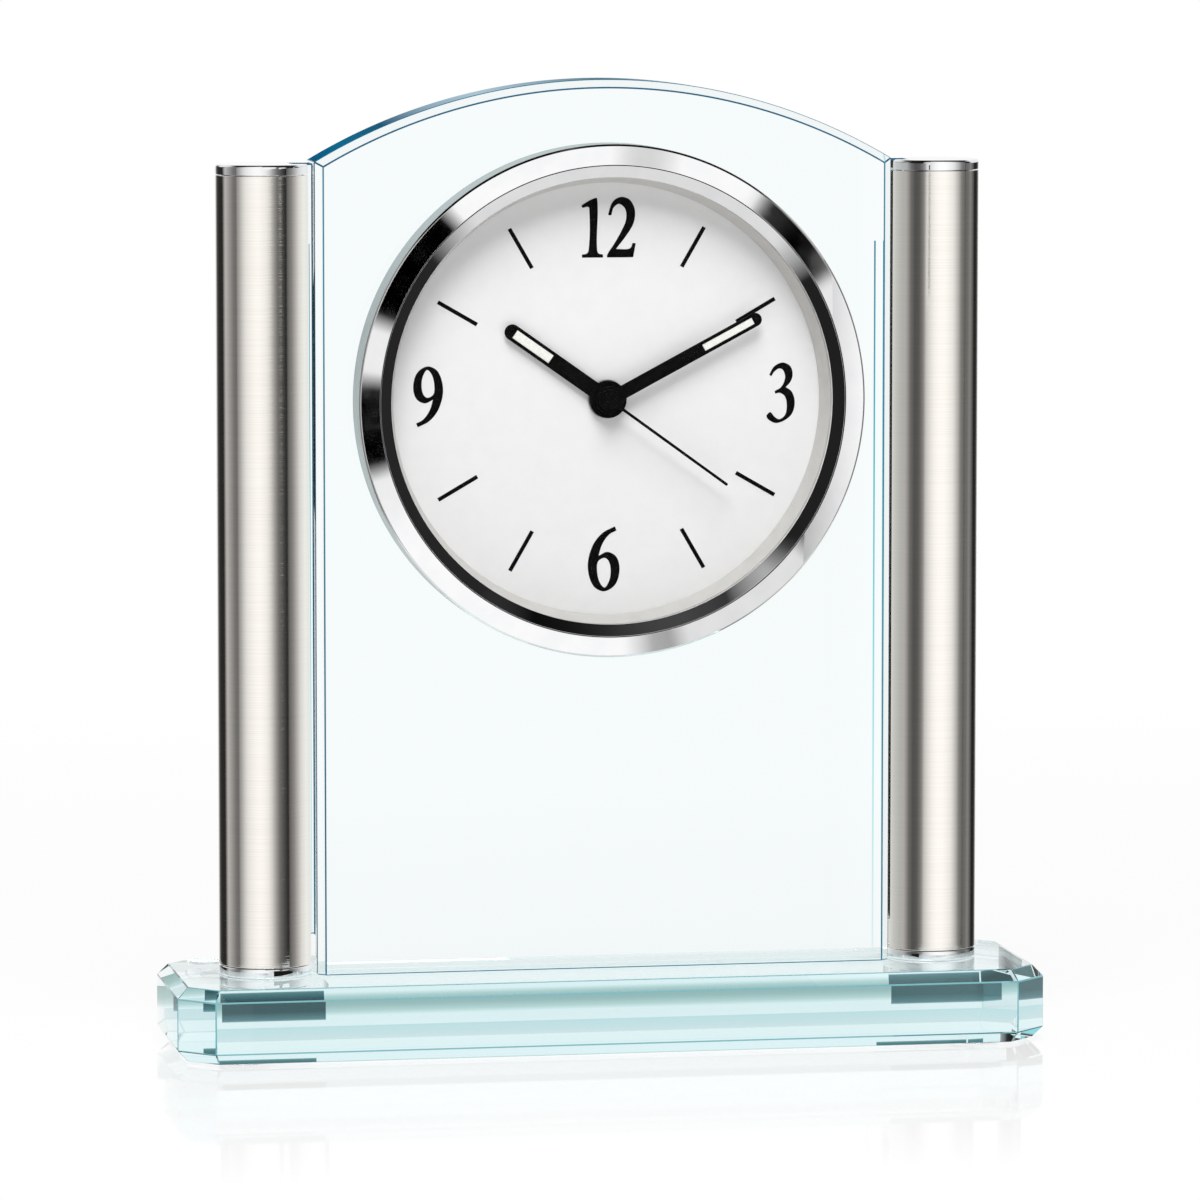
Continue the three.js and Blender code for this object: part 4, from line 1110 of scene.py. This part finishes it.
def floor_finish():
    """Pale glossy table: white, with a mirror image that fades with the distance from the base."""
    material, tree, shader = new_material("pale_table")
    tree.nodes.remove(shader)
    glow = add_node(tree, "ShaderNodeEmission", Color=(1, 1, 1, 1), Strength=table_glow)
    matt = add_node(tree, "ShaderNodeBsdfDiffuse", Color=(table_matt, table_matt, table_matt, 1))
    lit = tree.nodes.new("ShaderNodeAddShader")
    tree.links.new(glow.outputs["Emission"], lit.inputs[0])
    tree.links.new(matt.outputs["BSDF"], lit.inputs[1])
    white = add_node(tree, "ShaderNodeEmission", Color=(1, 1, 1, 1), Strength=1)
    mirror = add_node(tree, "ShaderNodeBsdfGlossy", Color=(1, 1, 1, 1), Roughness=0.03)
    parts = split(tree, tree.nodes.new("ShaderNodeNewGeometry").outputs["Position"])
    across = beyond(tree, parts["X"], base_half_width * MM)
    along = beyond(tree, parts["Y"], base_half_depth * MM)
    far = spread(tree, distance(tree, across, along), 0, 1, white_from * MM, white_to * MM)
    plain = blend(tree, far, lit.outputs[0], white.outputs["Emission"])
    behind = maths(tree, "ADD", along, maths(tree, "MAXIMUM", parts["Y"], 0))
    away = distance(tree, maths(tree, "MULTIPLY", across, mirror_side_fade), behind)
    fade = spread(tree, away, mirror_share, 0, 0, mirror_reach * MM)
    tree.links.new(blend(tree, fade, plain, mirror.outputs["BSDF"]), surface_input(tree))
    return material


def distance(tree, across, along):
    squares = (maths(tree, "MULTIPLY", value, value) for value in (across, along))
    return maths(tree, "SQRT", maths(tree, "ADD", *squares))


def beyond(tree, value, half):
    """How far a coordinate lies outside plus or minus half."""
    return maths(tree, "MAXIMUM", maths(tree, "SUBTRACT", maths(tree, "ABSOLUTE", value), half), 0)


def card(name, corners, stops, axis="X", seen_by="glossy"):
    """A sheet near the clock, coloured along one axis, that one kind of ray sees, and only from one side."""
    material, tree, shader = new_material(name)
    tree.nodes.remove(shader)
    place = tree.nodes.new("ShaderNodeNewGeometry")
    low = stops[0][0]
    high = stops[-1][0]
    along = spread(tree, split(tree, place.outputs["Position"])[axis], 0, 1, low * MM, high * MM)
    glow = tree.nodes.new("ShaderNodeEmission")
    tree.links.new(ramp(tree, along, stops, lambda value: (value - low) / (high - low)), glow.inputs["Color"])
    nothing = tree.nodes.new("ShaderNodeBsdfTransparent")
    front = blend(tree, place.outputs["Backfacing"], glow.outputs["Emission"], nothing.outputs["BSDF"])
    tree.links.new(front, surface_input(tree))
    material.cycles.emission_sampling = "NONE"
    sheet = plane(name, corners, material)
    sheet.visible_camera = False
    sheet.visible_diffuse = False
    sheet.visible_shadow = False
    sheet.visible_glossy = seen_by == "glossy"
    sheet.visible_transmission = seen_by == "transmission"


def sheet_across(left, right, y, low, high):
    """Corners of an upright sheet across. It faces the front, or the back where left is the larger."""
    return [(left, y, low), (right, y, low), (right, y, high), (left, y, high)]


def sheet_along(x, front, back, low, high):
    """Corners of an upright sheet from front to back. It faces left, or right where front is the larger."""
    return [(x, front, low), (x, front, high), (x, back, high), (x, back, low)]


def lamp(name, location, target, size, power):
    data = bpy.data.lights.new(name, "AREA")
    data.shape = "RECTANGLE"
    data.size, data.size_y = size
    data.energy = power
    source = bpy.data.objects.new(name, data)
    bpy.context.scene.collection.objects.link(source)
    source.location = location
    source.rotation_euler = (Vector(target) - Vector(location)).to_track_quat("-Z", "Y").to_euler()
    source.visible_glossy = False


world_light()
table = plane("table", [(-table_reach, -table_reach, 0), (table_reach, -table_reach, 0),
                        (table_reach, table_reach, 0), (-table_reach, table_reach, 0)], floor_finish())
table.visible_glossy = False
lamp("key", location=(-0.12, -0.55, 0.90), target=(0, 0, 0.1), size=(0.5, 0.6), power=9.2)

# Large sheets before the pillars, mirrored in the tubes
card_y = -30
card("card_left", sheet_across(-64, -150, card_y, 1, 200),
     [(-150, 0.17), (-133, 0.3), (-115, 0.42), (-103, 0.58), (-89, 0.82), (-80, 0.93), (-74, 1.0),
      (-69, 1.03), (-64, 0.98)])
card("card_right", [(170, card_y, 1), (44.7, card_y, 1), (44.7, card_y, 128), (50.5, card_y, 131.5),
                    (50.5, card_y, 190), (170, card_y, 190)],
     [(44.7, 0.5), (52, 0.8), (57, 0.97), (62, 1.05), (68, 1.05), (73, 0.98), (81, 0.85), (91, 0.58),
      (110, 0.24), (124, 0.18), (170, 0.145)])

# Narrow sheets beside the tubes, mirrored in their inner and outer sides
inner_x = 50.5
inner_low = 14
inner_high = 156.5
card("inner_left", sheet_along(-inner_x, -12, 7, inner_low, inner_high),
     [(-12, 0.095), (-9, 0.255), (-7.2, 0.48), (-5.3, 0.79), (-3.6, 0.93), (-1.5, 0.88), (7, 0.85)], "Y")
card("inner_right", sheet_along(inner_x, 7, -20, inner_low, inner_high),
     [(-20, 0.42), (-16.7, 0.22), (-12.9, 0.1), (-10.2, 0.085), (-8.2, 0.16), (-6.3, 0.43), (-4.7, 0.5),
      (-2.9, 0.6), (-0.3, 0.84), (7, 0.9)], "Y")
card("outer_right", sheet_along(75, -9, 9, 1, 156),
     [(-9, 0.145), (-7, 0.15), (-4.7, 0.24), (-2.3, 0.1), (-0.6, 0.012), (3.4, 0.03), (9, 0.4)], "Y")

# Small dark sheets beside the collars, with slanted tops
collar_y = -10
collar_foot = 13.65
for name, left, left_top, right, right_top in (
        ("left", -59.2, 15.1, -50.7, 14.4), ("right", 46.5, 14.0, 54.6, 14.9)):
    card(f"dark_collar_{name}", [(right, collar_y, collar_foot), (left, collar_y, collar_foot),
                                 (left, collar_y, left_top), (right, collar_y, right_top)],
         [(left, 0.01), (right, 0.01)])

# Sheets of painted shadow right behind the base, seen only through its glass: a pale band deepening upwards,
# and a dark block under each pillar
shade_band_y = 21.3
shadow_sheet_y = 21.15
shadow_sheet_top = 8.4
painted_shade_band = [(4.4, (0.95, 0.97, 0.97)), (5.2, (0.6, 0.72, 0.7)), (6.3, (0.4, 0.54, 0.52)),
               (shadow_sheet_top, (0.3, 0.44, 0.42))]


# Painted shadow of a pillar: pale at the foot of the sheet, deep above
def painted_shadow_shades(deep):
    return [(3.8, (0.3, 0.42, 0.44)), (4.1, (0.1, 0.22, 0.24)), (5.4, deep), (shadow_sheet_top, deep)]


for name, left, right, y, stops in (
        ("band", -77, 77, shade_band_y, painted_shade_band),
        ("left", -66.9, -48.3, shadow_sheet_y, painted_shadow_shades((0.03, 0.08, 0.09))),
        ("right", 54.6, 73.5, shadow_sheet_y, painted_shadow_shades((0.05, 0.12, 0.13)))):
    card(f"painted_shadow_{name}", sheet_across(left, right, y, stops[0][0], shadow_sheet_top), stops, "Z", "transmission")

bpy.context.scene.view_settings.view_transform = "Standard"
